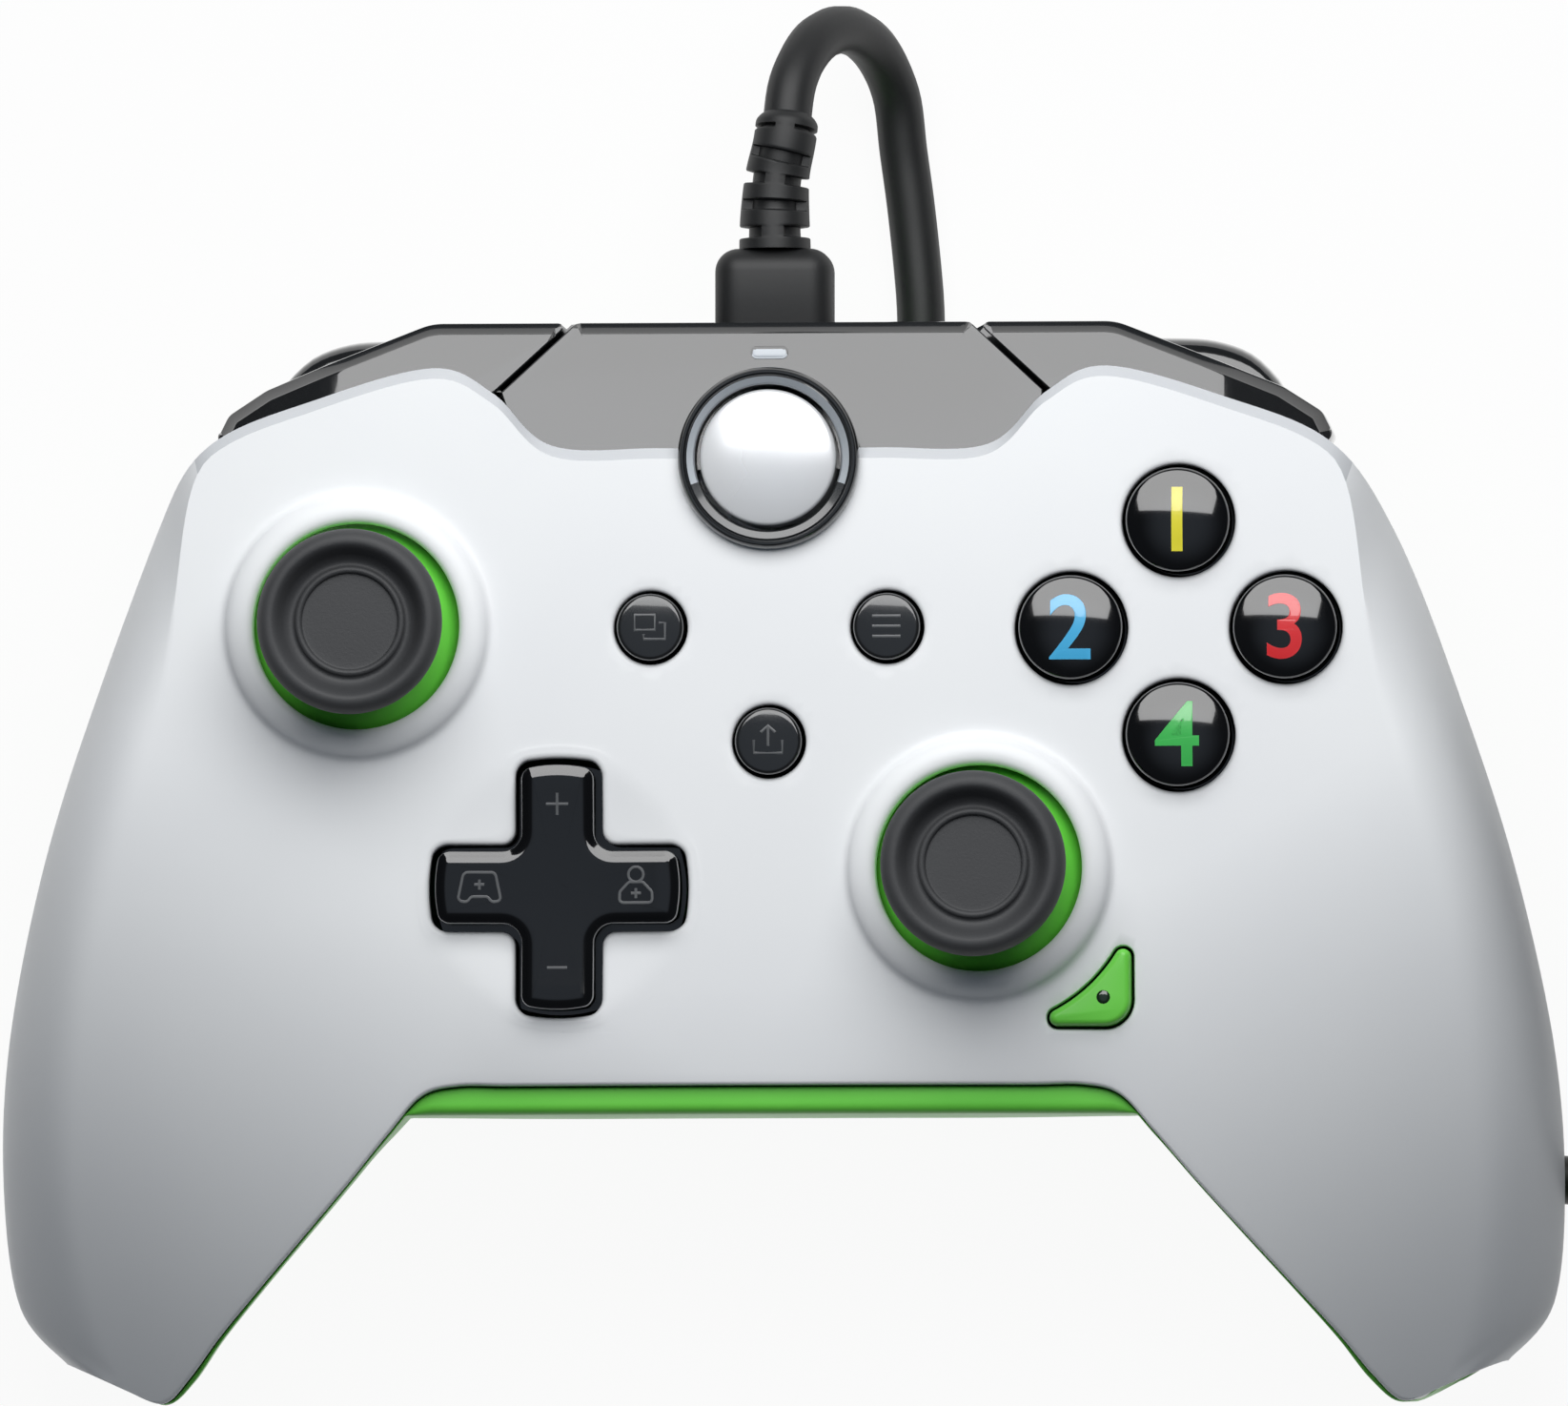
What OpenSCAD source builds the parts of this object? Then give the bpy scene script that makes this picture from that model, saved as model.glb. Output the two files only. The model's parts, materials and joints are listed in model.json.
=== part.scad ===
// Wired gamepad: two shells, sticks, buttons, bumpers, triggers and a coiled cable.
// Millimetres. +X is the player's right, +Y the cable side, +Z up from the table.

/* [Body] */
// Width across the grips
body_width = 155; // [151:0.5:159]
// Depth from the bumpers to the grip tips
body_depth = 105.4; // [103.6:0.2:107.6]
// Height of the flat face above the table
face_height = 38; // [37:0.25:39]
// Wall of both shells
wall = 2; // [1.8:0.1:2.2]
// Gap along the seam between the shells
seam_gap = 0.2; // [0.1:0.05:0.3]
// Gap beside every piece that moves
slide_gap = 0.3; // [0.25:0.05:0.4]
// Gap of a pin in its bore
pin_gap = 0.05; // [0.03:0.01:0.08]
// How fast the grips droop
grip_droop = 0.0065; // [0.006:0.0001:0.007]
// How far the rear shell stands out behind the bridge
rear_lip = 2.8; // [2:0.1:3.4]

/* [Sticks] */
// Radius of the opening round a stick
stick_hole_r = 10.2; // [10:0.1:10.5]
// Radius of the green dome
dome_r = 13.5; // [13.3:0.1:13.7]
// Wall of the dome
dome_wall = 1.2; // [1:0.1:1.4]
// Radius of the rubber cap
cap_r = 9.15; // [8.9:0.05:9.4]
// Height of the cap top above the face
cap_rise = 11; // [10.5:0.1:11.5]
// Height of the raised bezel above the face
bezel_rise = 2.4; // [2:0.1:2.6]
// Radius of the neck under the cap
neck_r = 3.2; // [3:0.1:3.4]
// Radius of the sliding post
post_r = 1.5; // [1.4:0.05:1.6]
// Side of the square stick housing
housing_side = 16; // [15.8:0.1:16.2]

/* [Buttons] */
// Radius of an action button
action_r = 5.3; // [5.1:0.05:5.5]
// Distance of the action buttons from their middle
action_ring = 10.6; // [10.3:0.1:10.9]
// Height of the action buttons above the face
action_rise = 2.4; // [2:0.1:2.8]
// Travel of an action button
action_travel = 1.4; // [1.2:0.1:1.6]
// Radius of a small button
small_r = 3.35; // [3.2:0.05:3.5]
// Height of the small buttons above the face
small_rise = 1.1; // [0.8:0.1:1.4]
// Travel of small, guide and function buttons
small_travel = 0.5; // [0.4:0.05:0.6]
// Span of the direction pad
pad_span = 23.3; // [22.8:0.1:23.8]
// Width of a direction pad arm
pad_arm = 7.2; // [7:0.1:7.6]
// Height of the direction pad above the face
pad_rise = 2.4; // [2:0.1:2.8]
// Gap between the pad and its opening
pad_gap = 0.7; // [0.65:0.05:0.8]
// Depth of the round dish under the pad
dish_depth = 0.8; // [0.6:0.1:0.9]
// Radius of the guide ring
ring_r = 9; // [8.8:0.1:9.2]
// Radius of the guide dome
guide_r = 6.9; // [6.7:0.05:7]

/* [Front] */
// Height of the bumpers and fascia top below the face
front_step = 4.1; // [4:0.1:4.4]
// Chamfer along the bumpers and the fascia
front_chamfer = 1.2; // [1:0.1:1.4]
// Gap between a bumper and the fascia
split_gap = 0.8; // [0.7:0.05:0.9]
// Depth of the bumpers' underside below the face
bumper_depth = 16; // [15.8:0.1:16.2]
// Radius of the trigger and bumper pins
pin_r = 1.2; // [1.1:0.05:1.3]
// Depth of the trigger pin below the bumpers
pin_drop = 5; // [4.8:0.1:5.2]

/* [Inside] */
// Depth of the circuit board's underside below the face
board_depth = 18; // [17.8:0.1:18.2]
// Thickness of the circuit board
board_t = 1.6; // [1.4:0.1:1.6]
// Thickness of the chassis plate
chassis_t = 2.4; // [2.2:0.1:2.6]
// Radius of a rumble motor
motor_r = 6; // [5.8:0.1:6.2]
// Length of a rumble motor
motor_len = 20; // [19:0.5:21]
// Radius of a rumble weight
weight_r = 6.8; // [6.5:0.1:6.9]
// Depth of the motor axis below the circuit board
motor_drop = 3; // [2.8:0.1:3.2]
// Radius of the headset jack bore
jack_r = 1.8; // [1.75:0.05:1.9]
// Radius of a screw shank
screw_r = 1.4; // [1.3:0.05:1.5]

/* [Cable] */
// Diameter of the cable
cable_d = 4.8; // [4.6:0.1:5]
// Width of the plug at the gamepad
plug_width = 11.5; // [11:0.1:12]
// Height of the plug at the gamepad
plug_height = 7.4; // [7:0.1:7.6]
// Length of that plug outside the gamepad
plug_len = 6.9; // [6.5:0.1:7.3]
// Length of the strain relief
relief_len = 15; // [14.5:0.5:15.5]
// Gap between turns of the coil
turn_gap = 0.7; // [0.6:0.05:0.8]
// Radius of the coil at the middle of its turns
coil_r = 27; // [26.5:0.1:28]
// Thickness of the coil tie
tie_t = 0.8; // [0.7:0.1:1]

/* [Hidden] */
$fn = 48;
hw = body_width / 2;
// The front stands a little further from the origin than the grip tips
hd = body_depth / 2 + 0.7;
inner_face = face_height - wall;
board_z = face_height - board_depth;
board_top = board_z + board_t;
chassis_z = board_z - chassis_t;
front_top = face_height - front_step;
fascia_bottom = board_z;
bumper_bottom = face_height - bumper_depth;
trigger_pin_z = bumper_bottom - pin_drop;
motor_z = board_z - motor_drop;
// Places on the plan follow the width and the depth of the body
function wide(x) = x * body_width / 155;
function plan(x, y) = [wide(x), y * body_depth / 105.4];
left_stick = plan(-40.8, 23.5);
right_stick = plan(20.8, -0.6);
pad_at = plan(-20.8, -2.4);
actions_at = plan(40.5, 23.1);
guide_at = [0, hd - 13.4];
view_at = plan(-11.7, 23.3);
menu_at = plan(11.7, 23.3);
share_at = plan(0, 12);
motor_at = plan(50.5, -9);
function_at = right_stick + [11.8, -12.4];
lens_at = right_stick + [12.3, -12.8];
lens_r = 0.75;
light_at = [0, hd - 3];
pivot_z = board_top + 5.9;
cap_top = face_height + cap_rise;
flange_z = inner_face - 3.3;
seat_z = board_z - 7;
ring_low = inner_face - 5;
guide_low = ring_low - slide_gap - 1.7;
guide_stem = guide_low - 0.5;
usb_z = board_top + 1.6;
plug_y = hd + 0.3;
fascia_half = wide(26.9);
bumper_pin = [wide(29.5), bumper_bottom + 5];
trigger_back = 15.9;
trigger_top = bumper_bottom - 1.4 - trigger_pin_z;
motor_dir = 30;
bridge_y = plan(0, -21.9)[1];
jack_y = bridge_y - 1.6;
jack_z = board_z - 3.5;
white = [0.93, 0.94, 0.95];
green = [0.28, 0.75, 0.2];
gloss = [0.12, 0.125, 0.13];
rubber = [0.16, 0.16, 0.17];
steel = [0.72, 0.73, 0.75];
jet = [0.07, 0.07, 0.07];

// Outline pairs from the middle to the right grip tip: back edge and front edge
back_edge = [for (p = [[0, -21.9], [10, -21.9], [19, -21.9], [26, -21.9], [31, -21.9], [34.6, -22.9],
  [38, -26.6], [42, -31.3], [46.7, -36.5], [51.4, -41.6], [55.5, -46.1], [58.7, -50], [61.4, -52],
  [65, -51.1]]) plan(p[0], p[1])];
front_edge = [for (p = [[0, 41.1], [11, 41.1], [21.6, 41.4], [27.4, 46.6], [33.4, 49.1], [45, 46],
  [55.5, 41.5], [61.5, 32.8], [68, 15.8], [73, 0], [76.6, -17], [77.5, -31], [76.3, -42.6], [72.8, -48.2]])
  plan(p[0], p[1])];
notch_y = front_edge[0][1];
// Underside of the rear shell, lip behind the bridge and reach under the fascia, per pair
under_z = concat([-2, -2, -2, 1.5], [for (d = [32, 30, 29.4, 29.4, 29.8, 30.6, 32.2, 34.4, 36.6, 37.6])
  face_height - d]);
lip_out = [1, 1, 1, 1, 1, 0.65, 0.1, 0.08, 0.08, 0.1, 0.14, 0.2, 0.12, 0];
reach = [hd - 1.4 - notch_y, hd - 1.4 - notch_y, hd - 1.9 - notch_y, 4, 0, 0, 0, 0, 0, 0, 0, 0, 0, 0];
last = len(front_edge) - 1;
half_steps = concat([for (k = [0.4:0.4:last - 0.9]) k],
  [last - 0.4, last - 0.2, last - 0.08, last, last + 0.2]);
stations = concat([for (i = [len(half_steps) - 1:-1:0]) -half_steps[i]], [0], half_steps);

function mix(a, b, t) = a + (b - a) * t;
function ease(t) = let (c = min(1, max(0, t))) c * c * (3 - 2 * c);
function unit(v) = v / norm(v);
function turned(v, side) = [v[0] * side, v[1]];

// Smooth curve through the points of a list
function through(p, k) = let (n = len(p) - 1, i = min(n - 1, max(0, floor(k))), t = k - i,
    a = p[max(0, i - 1)], b = p[i], c = p[i + 1], d = p[min(n, i + 2)])
  0.5 * (2 * b + (c - a) * t + (2 * a - 5 * b + 4 * c - d) * t * t
    + (3 * b - a - 3 * c + d) * t * t * t);

// Height of the white face before its edges roll over
function face_z(p) = let (g = 0.5 * (abs(p[0]) - 38) - 0.866 * (p[1] + 2),
    back = max(0, -12 - p[1]) * (1 - ease((abs(p[0]) - 26) / 14)))
  face_height - grip_droop * pow(max(0, g), 2) - 0.005 * back * back;

function flank(k) = ease((k - 6) / 1.6);
function tip(k) = k <= last - 0.7 ? 0
  : 1 - sqrt(max(0, 1 - pow(min(1, (k - last + 0.7) / 0.7), 2)));
function tip_shift(k, inset) = inset * ease((k - last + 1.5) / 1.5) * [-0.45, 0.89];
function seam_front(k, p) = mix(face_z(p) - 3.6, 0.46 * face_z(p), flank(k));
function seam_back(k, p) = mix(face_z(p) - 5, 0.46 * face_z(p), ease((k - 9) / 4));

// One row of the white skin from the back seam over the face to the front seam
function top_row(ks, inset) = let (k = abs(ks), kk = min(last, k), side = ks < 0 ? -1 : 1,
    i0 = through(back_edge, kk), o0 = through(front_edge, kk), d = unit(o0 - i0),
    i = i0 + d * inset + tip_shift(k, inset), o = o0 - d * inset + tip_shift(k, inset),
    span = norm(o - i), f = flank(k), ri = max(0.5, 0.9 - inset),
    ro = min(max(0.4, mix(1.1, 12, f) - inset), 0.75 * (span - ri)),
    h = max(0.4, mix(1.1, 0.34 * face_z(o), f) - inset),
    a0 = ri, a1 = span - ro,
    flat = [for (n = [0:6]) [mix(a0, a1, n / 6), 0]],
    rows = concat([for (t = [0:30:60]) [ri * (1 - cos(t)), ri * (1 - sin(t))]], flat,
      [for (t = [18:18:90]) [a1 + ro * sin(t), h * (1 - cos(t))]]),
    e = tip(k), done = k > last)
  concat([concat(turned(i, side), [seam_back(kk, i0)])],
    [for (r = rows) let (p = i + d * r[0], z = face_z(p) - inset - r[1], low = 0.62 * face_z(p))
      concat(turned(p, side), [done ? mix(seam_back(kk, i0), seam_front(kk, o0), r[0] / span)
        : mix(z, min(z, low), e)])],
    [concat(turned(o - d * 0.6 * f, side), [seam_front(kk, o0)])]);

// One row of the green skin from the back seam under the body to the front seam
function low_row(ks, inset) = let (k = abs(ks), kk = min(last, k), side = ks < 0 ? -1 : 1,
    b = through(back_edge, kk), q = through(front_edge, kk), d = unit(q - b),
    i0 = b - d * rear_lip * through(lip_out, kk),
    o0 = q + [0, through(reach, kk)] - d * 0.6 * flank(k),
    i = i0 + d * inset + tip_shift(k, inset), o = o0 - d * inset + tip_shift(k, inset),
    zi = seam_back(kk, b) - seam_gap,
    zo = mix(mix(fascia_bottom - slide_gap, bumper_bottom - 0.5, ease((k - 2) / 2)),
      seam_front(kk, q) - seam_gap, ease((k - 5.9) / 0.5)),
    c = mix(0.36, 0.5, ease((k - 2) / 4)), span = norm(o - i),
    ni = mix(3, 2.3, ease((k - 3) / 4)), no = mix(1.4, 2.4, ease((k - 3) / 4)), e = tip(k))
  [for (t = [0:15:180]) let (n = t <= 90 ? ni : no,
      w = pow(abs(cos(t)), 2 / n), a = t <= 90 ? c * (1 - w) : c + (1 - c) * w,
      zl = mix(zi, zo, a), z = zl - (zl - through(under_z, kk) - inset) * pow(sin(t), 2 / n))
    concat(turned(i + (o - i) * a, side), [k > last ? zl : mix(max(z, inset), zl, e)])];

// Rows of the raised lip behind the bridge, from the green wall to just under the white edge
lip_steps = [for (n = [-13:13]) n * 0.415];
function lip_row(ks, near) = let (k = abs(ks), side = ks < 0 ? -1 : 1, b = through(back_edge, k),
    d = unit(through(front_edge, k) - b), w = rear_lip * through(lip_out, k) + 0.1, c = min(0.8, w * 0.4),
    low = seam_back(k, b) - seam_gap - 1, top = mix(face_z(b) - 1, low + 1.2, ease(k - 4.4)))
  [for (p = near ? [[seam_gap, low], [seam_gap, top - c], [seam_gap, top]]
      : [[w, low], [w, top - c], [w - c, top]]) concat(turned(b - d * p[0], side), [p[1]])];

// Screw posts: station, place along its row, foot above the middle of the wall, and top
screw_spots = [[1.45, 9, 0.9, chassis_z], [0.8, 3.7, 1.3, board_z], [6.25, 5.7, 0.5, chassis_z]];
screws = [for (s = screw_spots) let (p = through(low_row(s[0], wall / 2), s[1]))
  [p[0], p[1], p[2] + s[2], s[3]]];

// Closed solid between two grids of points with the same rows and columns
module skin_solid(out, in) {
  r = len(out); c = len(out[0]); m = r * c;
  pts = concat([for (row = out) each row], [for (row = in) each row]);
  quads = concat(
    [for (i = [0:r - 2], j = [0:c - 2]) [i * c + j, i * c + j + 1, (i + 1) * c + j + 1, (i + 1) * c + j]],
    [for (i = [0:r - 2], j = [0:c - 2])
      [m + i * c + j, m + (i + 1) * c + j, m + (i + 1) * c + j + 1, m + i * c + j + 1]],
    [for (i = [0:r - 2]) [i * c, (i + 1) * c, m + (i + 1) * c, m + i * c]],
    [for (i = [0:r - 2])
      [(i + 1) * c + c - 1, i * c + c - 1, m + i * c + c - 1, m + (i + 1) * c + c - 1]],
    [for (j = [0:c - 2]) [j + 1, j, m + j, m + j + 1]],
    [for (j = [0:c - 2]) [m - c + j, m - c + j + 1, 2 * m - c + j + 1, 2 * m - c + j]]);
  polyhedron(pts, [for (q = quads) each [[q[0], q[1], q[2]], [q[0], q[2], q[3]]]]);
}

module at(p, z = 0) translate([p[0], p[1], z]) children();
module both() { children(); mirror([1, 0, 0]) children(); }
module along_y(y) translate([0, y, 0]) rotate([-90, 0, 0]) children();
module slab(z0, z1) translate([0, 0, z0]) linear_extrude(z1 - z0) children();

module cross_2d(grow) offset(r = -1.6) offset(r = 1.6) offset(r = 0.8) offset(r = -0.8) {
  square([pad_span + 2 * grow, pad_arm + 2 * grow], center = true);
  square([pad_arm + 2 * grow, pad_span + 2 * grow], center = true);
}
module wedge_2d(grow) offset(r = 0.8 + grow) offset(r = -0.8) at(right_stick) difference() {
  translate([6.2, -15.6]) square([8.8, 9]);
  circle(15.9, $fn = 96);
  difference() {
    translate([12.4, -16.4]) square([4, 3.4]);
    translate([12.4, -13]) circle(2.6, $fn = 32);
  }
}
module bezel(p) at(p) rotate_extrude() polygon([[stick_hole_r - 0.5, inner_face],
  [stick_hole_r - 0.5, face_height + bezel_rise - 0.9], [stick_hole_r + 0.3, face_height + bezel_rise - 0.2],
  [stick_hole_r + 1, face_height + bezel_rise], [stick_hole_r + 2.3, face_height + bezel_rise - 0.2],
  [stick_hole_r + 3.2, face_height + 1.2], [stick_hole_r + 4.3, face_height + 0.1],
  [stick_hole_r + 4.3, inner_face]]);

module front_shell() color(white) difference() {
  union() {
    skin_solid([for (k = stations) top_row(k, 0)], [for (k = stations) top_row(k, wall)]);
    bezel(left_stick);
    bezel(right_stick);
    both() for (s = screws) at(s, board_top) cylinder(h = inner_face - board_top + 0.6, r = 3.2);
  }
  for (p = [left_stick, right_stick]) {
    at(p, inner_face - 1) cylinder(h = 8, r = stick_hole_r);
    at(p, pivot_z) sphere(dome_r + 0.5, $fn = 96);
  }
  for (a = [0:90:270]) at(actions_at) rotate(a) translate([action_ring, 0, inner_face - 1])
    cylinder(h = 6, r = action_r + slide_gap);
  for (p = [view_at, menu_at, share_at]) at(p, inner_face - 1) cylinder(h = 6, r = small_r + slide_gap);
  at(guide_at, inner_face - 5) cylinder(h = 10, r = ring_r - 0.4);
  at(pad_at) slab(inner_face - 1, face_height + 3) cross_2d(pad_gap);
  at(pad_at, face_height + 98 - dish_depth) sphere(98, $fn = 192);
  slab(inner_face - 1, face_height + 3) wedge_2d(slide_gap);
  both() for (s = screws) at(s, board_top - 1) cylinder(h = 12, r = screw_r);
}

module rear_shell() color(green) difference() {
  union() {
    skin_solid([for (k = stations) low_row(k, wall)], [for (k = stations) low_row(k, 0)]);
    skin_solid([for (k = lip_steps) lip_row(k, false)], [for (k = lip_steps) lip_row(k, true)]);
    both() for (s = screws) at(s, s[2]) cylinder(h = s[3] - s[2], r = 3.6);
    both() motor_place(8) translate([-4.5, -2.5, -7.4]) cube([9, 5, 3]);
  }
  both() motor_place(motor_len + 0.5) along_y(0) cylinder(h = motor_len + 1, r = motor_r + pin_gap);
  both() for (s = screws) at(s) {
    translate([0, 0, -1]) cylinder(h = seat_z + 1, r = 2.9);
    cylinder(h = 30, r = screw_r + 0.2);
  }
  both() translate([fascia_half - 0.2, hd - 12.4, -1]) cube([25.1, 20, bumper_bottom + 8]);
  both() translate([fascia_half - 3.7, hd - 21, -1]) cube([27, 9, bumper_bottom + 8]);
  both() translate([fascia_half - 0.2, hd - 12, bumper_bottom - 1.6]) cube([wide(29.8), 20, 14]);
  translate([0, jack_y - 4, jack_z]) rotate([-90, 0, 0]) cylinder(h = 8, r = 3.1);
}

module motor_place(dist) translate([motor_at[0], motor_at[1], motor_z]) rotate(motor_dir)
  translate([0, -dist, 0]) children();
module motor_form() difference() {
  union() {
    motor_place(motor_len) along_y(0) cylinder(h = motor_len, r = motor_r);
    motor_place(motor_len + 1) along_y(0) cylinder(h = 1.5, r = 2.4);
  }
  motor_place(motor_len + 2) along_y(0) cylinder(h = 8, r = 0.9 + pin_gap);
}
module weight_form() {
  motor_place(motor_len + 8.3) along_y(0) difference() {
    cylinder(h = 7, r = weight_r);
    translate([-20, -20, -1]) cube([40, 18.4, 20]);
  }
  motor_place(motor_len + 8.3) along_y(0) cylinder(h = 7, r = 2);
  motor_place(motor_len + 8.3) along_y(0) cylinder(h = 12, r = 0.9);
}
module left_motor() color(steel) mirror([1, 0, 0]) motor_form();
module right_motor() color(steel) motor_form();
module left_weight() color(steel) mirror([1, 0, 0]) weight_form();
module right_weight() color(steel) weight_form();

// Front: fascia, bumpers and triggers
fascia_shape = [[-wide(19.4), hd], [wide(19.4), hd], [fascia_half, hd - 6.5], [wide(24), hd - 14.4],
  [-wide(24), hd - 14.4], [-fascia_half, hd - 6.5]];
bumper_shape = [[wide(19.4) + split_gap, hd], [wide(33.9), hd], [wide(50.4), hd - 6.2],
  [wide(54.2), hd - 8.4], [wide(55.3), hd - 10.6], [wide(54.9), hd - 11.4], [wide(37), hd - 11.4],
  [fascia_half + split_gap, hd - 6.2]];
module faceted(shape, z0, z1) hull() {
  slab(z0 + front_chamfer, z1 - 2 * front_chamfer) polygon(shape);
  slab(z0, z1) offset(delta = -front_chamfer) polygon(shape);
}
module pill(grow) hull() for (s = [-1, 1]) translate([1.2 * s, 0]) circle(0.55 + grow, $fn = 24);
module center_fascia() color(gloss) difference() {
  faceted(fascia_shape, fascia_bottom, front_top);
  translate([-wide(17.4), hd - 23.4, fascia_bottom - 1])
    cube([wide(34.8), 21.5, front_top - fascia_bottom - 1]);
  at(guide_at, fascia_bottom) cylinder(h = 20, r = ring_r - 0.4);
  at(light_at) slab(front_top - 5, front_top + 1) pill(0);
  translate([-4.5, hd - 5, usb_z - 1.6]) cube([9, 8, 3.2]);
}
module status_light() color([0.9, 0.9, 0.88]) at(light_at) {
  slab(front_top - 2.2, front_top) pill(-pin_gap);
  slab(front_top - 3.2, front_top - 2.2) pill(0.5);
}
module bumper_form() difference() {
  faceted(bumper_shape, bumper_bottom, front_top - 0.1);
  translate([bumper_pin[0], hd - 13.4, bumper_pin[1]]) along_y(0) cylinder(h = 11.4, r = pin_r + pin_gap);
}
module left_bumper() color(gloss) mirror([1, 0, 0]) bumper_form();
module right_bumper() color(gloss) bumper_form();
module side_cut(x0, x1) translate([x0, 0, 0]) rotate([90, 0, 90]) linear_extrude(x1 - x0) children();
module front_place() translate([fascia_half, hd, trigger_pin_z]) children();
module cross_pin(x, len, r) translate([x, -trigger_back, 0]) rotate([0, 90, 0]) cylinder(h = len, r = r);
module trigger_form() front_place() difference() {
  union() {
    intersection() {
      side_cut(split_gap, 24.3) polygon([[-8, trigger_top], [-1.4, trigger_top], [-0.6, trigger_top - 0.9],
        [-0.4, 0], [-0.6, -2.4], [-1.5, -5], [-2.4, -7], [-2.7, -8.6], [-2.5, -9.9], [-3.2, -10.5],
        [-4.6, -10.1], [-6, -8.4], [-7, -6], [-7.8, -3.4], [-8, -2]]);
      slab(-20, 20) polygon([[0, -9.4], [0, -0.3], [12.7, -0.3], [16.2, -0.7], [19.4, -1.8], [23.1, -5.2],
        [24.6, -8.9], [24.6, -9.4]]);
    }
    side_cut(2.1, 16.1) polygon([[-trigger_back, -1.7], [-9.4, -4.2], [-6.9, -5], [-6.9, trigger_top - 0.6],
      [-10.9, trigger_top - 0.6], [-trigger_back, 2]]);
    cross_pin(2.1, 14, 3);
  }
  cross_pin(1.1, 16, pin_r + pin_gap);
}
module left_trigger() color(gloss) mirror([1, 0, 0]) trigger_form();
module right_trigger() color(gloss) trigger_form();
module trigger_pins() color(steel) both() front_place() cross_pin(-2.9, 21.5, pin_r);
module bumper_pins() color(steel) both() translate([bumper_pin[0], hd - 15.2, bumper_pin[1]])
  along_y(0) cylinder(h = 12.4, r = pin_r);
module trigger_springs() color(steel) both() front_place() translate([-2.9, -trigger_back, 0])
  rotate([0, 90, 0]) {
    for (i = [0:2]) translate([0, 0, 0.5 + 0.7 * i]) rotate_extrude()
      translate([pin_r + 0.9, 0]) circle(0.45);
    translate([0, -pin_r - 0.9, 0.4]) rotate([90, 0, 0]) cylinder(h = 2.4, r = 0.4);
  }
module bumper_switches() color(jet) both() translate([fascia_half + 18.7, hd - 13, chassis_z]) {
  cube([3.6, 3.8, 2.8]);
  translate([1, 1, 2.8]) cube([1.6, 1.8, 0.6]);
}

// Inside: chassis, board and what stands on it
module chassis() color([0.2, 0.2, 0.21]) difference() {
  union() {
    slab(chassis_z, board_z) polygon([plan(-50, -5.5), plan(50, -5.5), plan(50, 30.5), plan(-50, 30.5)]);
    both() front_place() for (x = [-0.4, 16.4]) translate([x, -20.4, -3.4]) cube([2.2, 7.5, 6.4]);
    both() front_place() {
      translate([-0.4, -15.2, chassis_z - trigger_pin_z]) cube([2.2, 2, bumper_pin[1] - chassis_z + 2.4]);
      translate([-0.4, -15.2, 4.5]) cube([5, 2, bumper_pin[1] - trigger_pin_z - 2.1]);
      translate([18.5, -20.4, chassis_z - trigger_pin_z - 2.2]) cube([4, 11.4, 2.2]);
    }
    both() slab(chassis_z, board_z) polygon([plan(12, 30), [wide(12), hd - 19.4],
      [fascia_half + 22.5, hd - 19.4], [fascia_half + 22.5, plan(0, 30)[1]]]);
  }
  both() front_place() cross_pin(-6.9, 28, pin_r);
  both() translate([bumper_pin[0], hd - 17.4, bumper_pin[1]]) along_y(0) cylinder(h = 6, r = pin_r);
  both() for (s = screws) at(s, chassis_z - 1) cylinder(h = 6, r = screw_r + 0.2);
}
board_shape = concat([[9, hd - 3.9]], [for (p = [[9, 36.5], [18, 36.5], [21, 32], [50, 32], [58, 27],
  [61, 12], [57, 6], [45, -4.5], [36, -17.5]]) plan(p[0], p[1])]);
module main_board() color([0.05, 0.3, 0.16]) difference() {
  slab(board_z, board_top) polygon(concat(board_shape,
    [for (i = [len(board_shape) - 1:-1:0]) turned(board_shape[i], -1)]));
  both() for (s = screws) at(s, board_z - 1) cylinder(h = 6, r = screw_r + 0.2);
}
module shell_screws() color(steel) both() for (s = screws) at(s) {
  translate([0, 0, seat_z - 2]) cylinder(h = 2, r = 2.6);
  translate([0, 0, seat_z - 0.1]) cylinder(h = board_top + 9 - seat_z, r = screw_r);
}
module usb_socket() color(steel) difference() {
  translate([-4.45, hd - 10.5, board_top]) cube([8.9, 8.4, 3.2]);
  translate([-4.2, hd - 9.5, usb_z - 1.3]) cube([8.4, 9, 2.6]);
}
module headset_jack() color(jet) difference() {
  union() {
    translate([-3.5, jack_y + 3.4, jack_z - 3.4]) cube([7, 11.6, 6.9]);
    translate([0, jack_y, jack_z]) along_y(0) cylinder(h = 4, r = 2.8);
  }
  translate([0, jack_y - 1, jack_z]) along_y(0) cylinder(h = 15, r = jack_r);
}
module tact_switches() color([0.15, 0.15, 0.16]) for (p = [view_at, menu_at, share_at, function_at]) at(p) {
  translate([-2.6, -2.6, board_top]) cube([5.2, 5.2, 1.7]);
  translate([0, 0, board_top + 1.6]) cylinder(h = 0.9, r = 1.4);
}
module guide_switch() color([0.15, 0.15, 0.16]) at(guide_at) {
  top = guide_stem - small_travel - slide_gap;
  translate([-2.6, -2.6, top - 2.5]) cube([5.2, 5.2, 1.7]);
  translate([0, 0, top - 0.9]) cylinder(h = 0.9, r = 1.4);
  for (x = [-5, 2.6]) translate([x, -2.6, board_top]) cube([2.4, 5.2, top - board_top - 1.1]);
}

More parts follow.
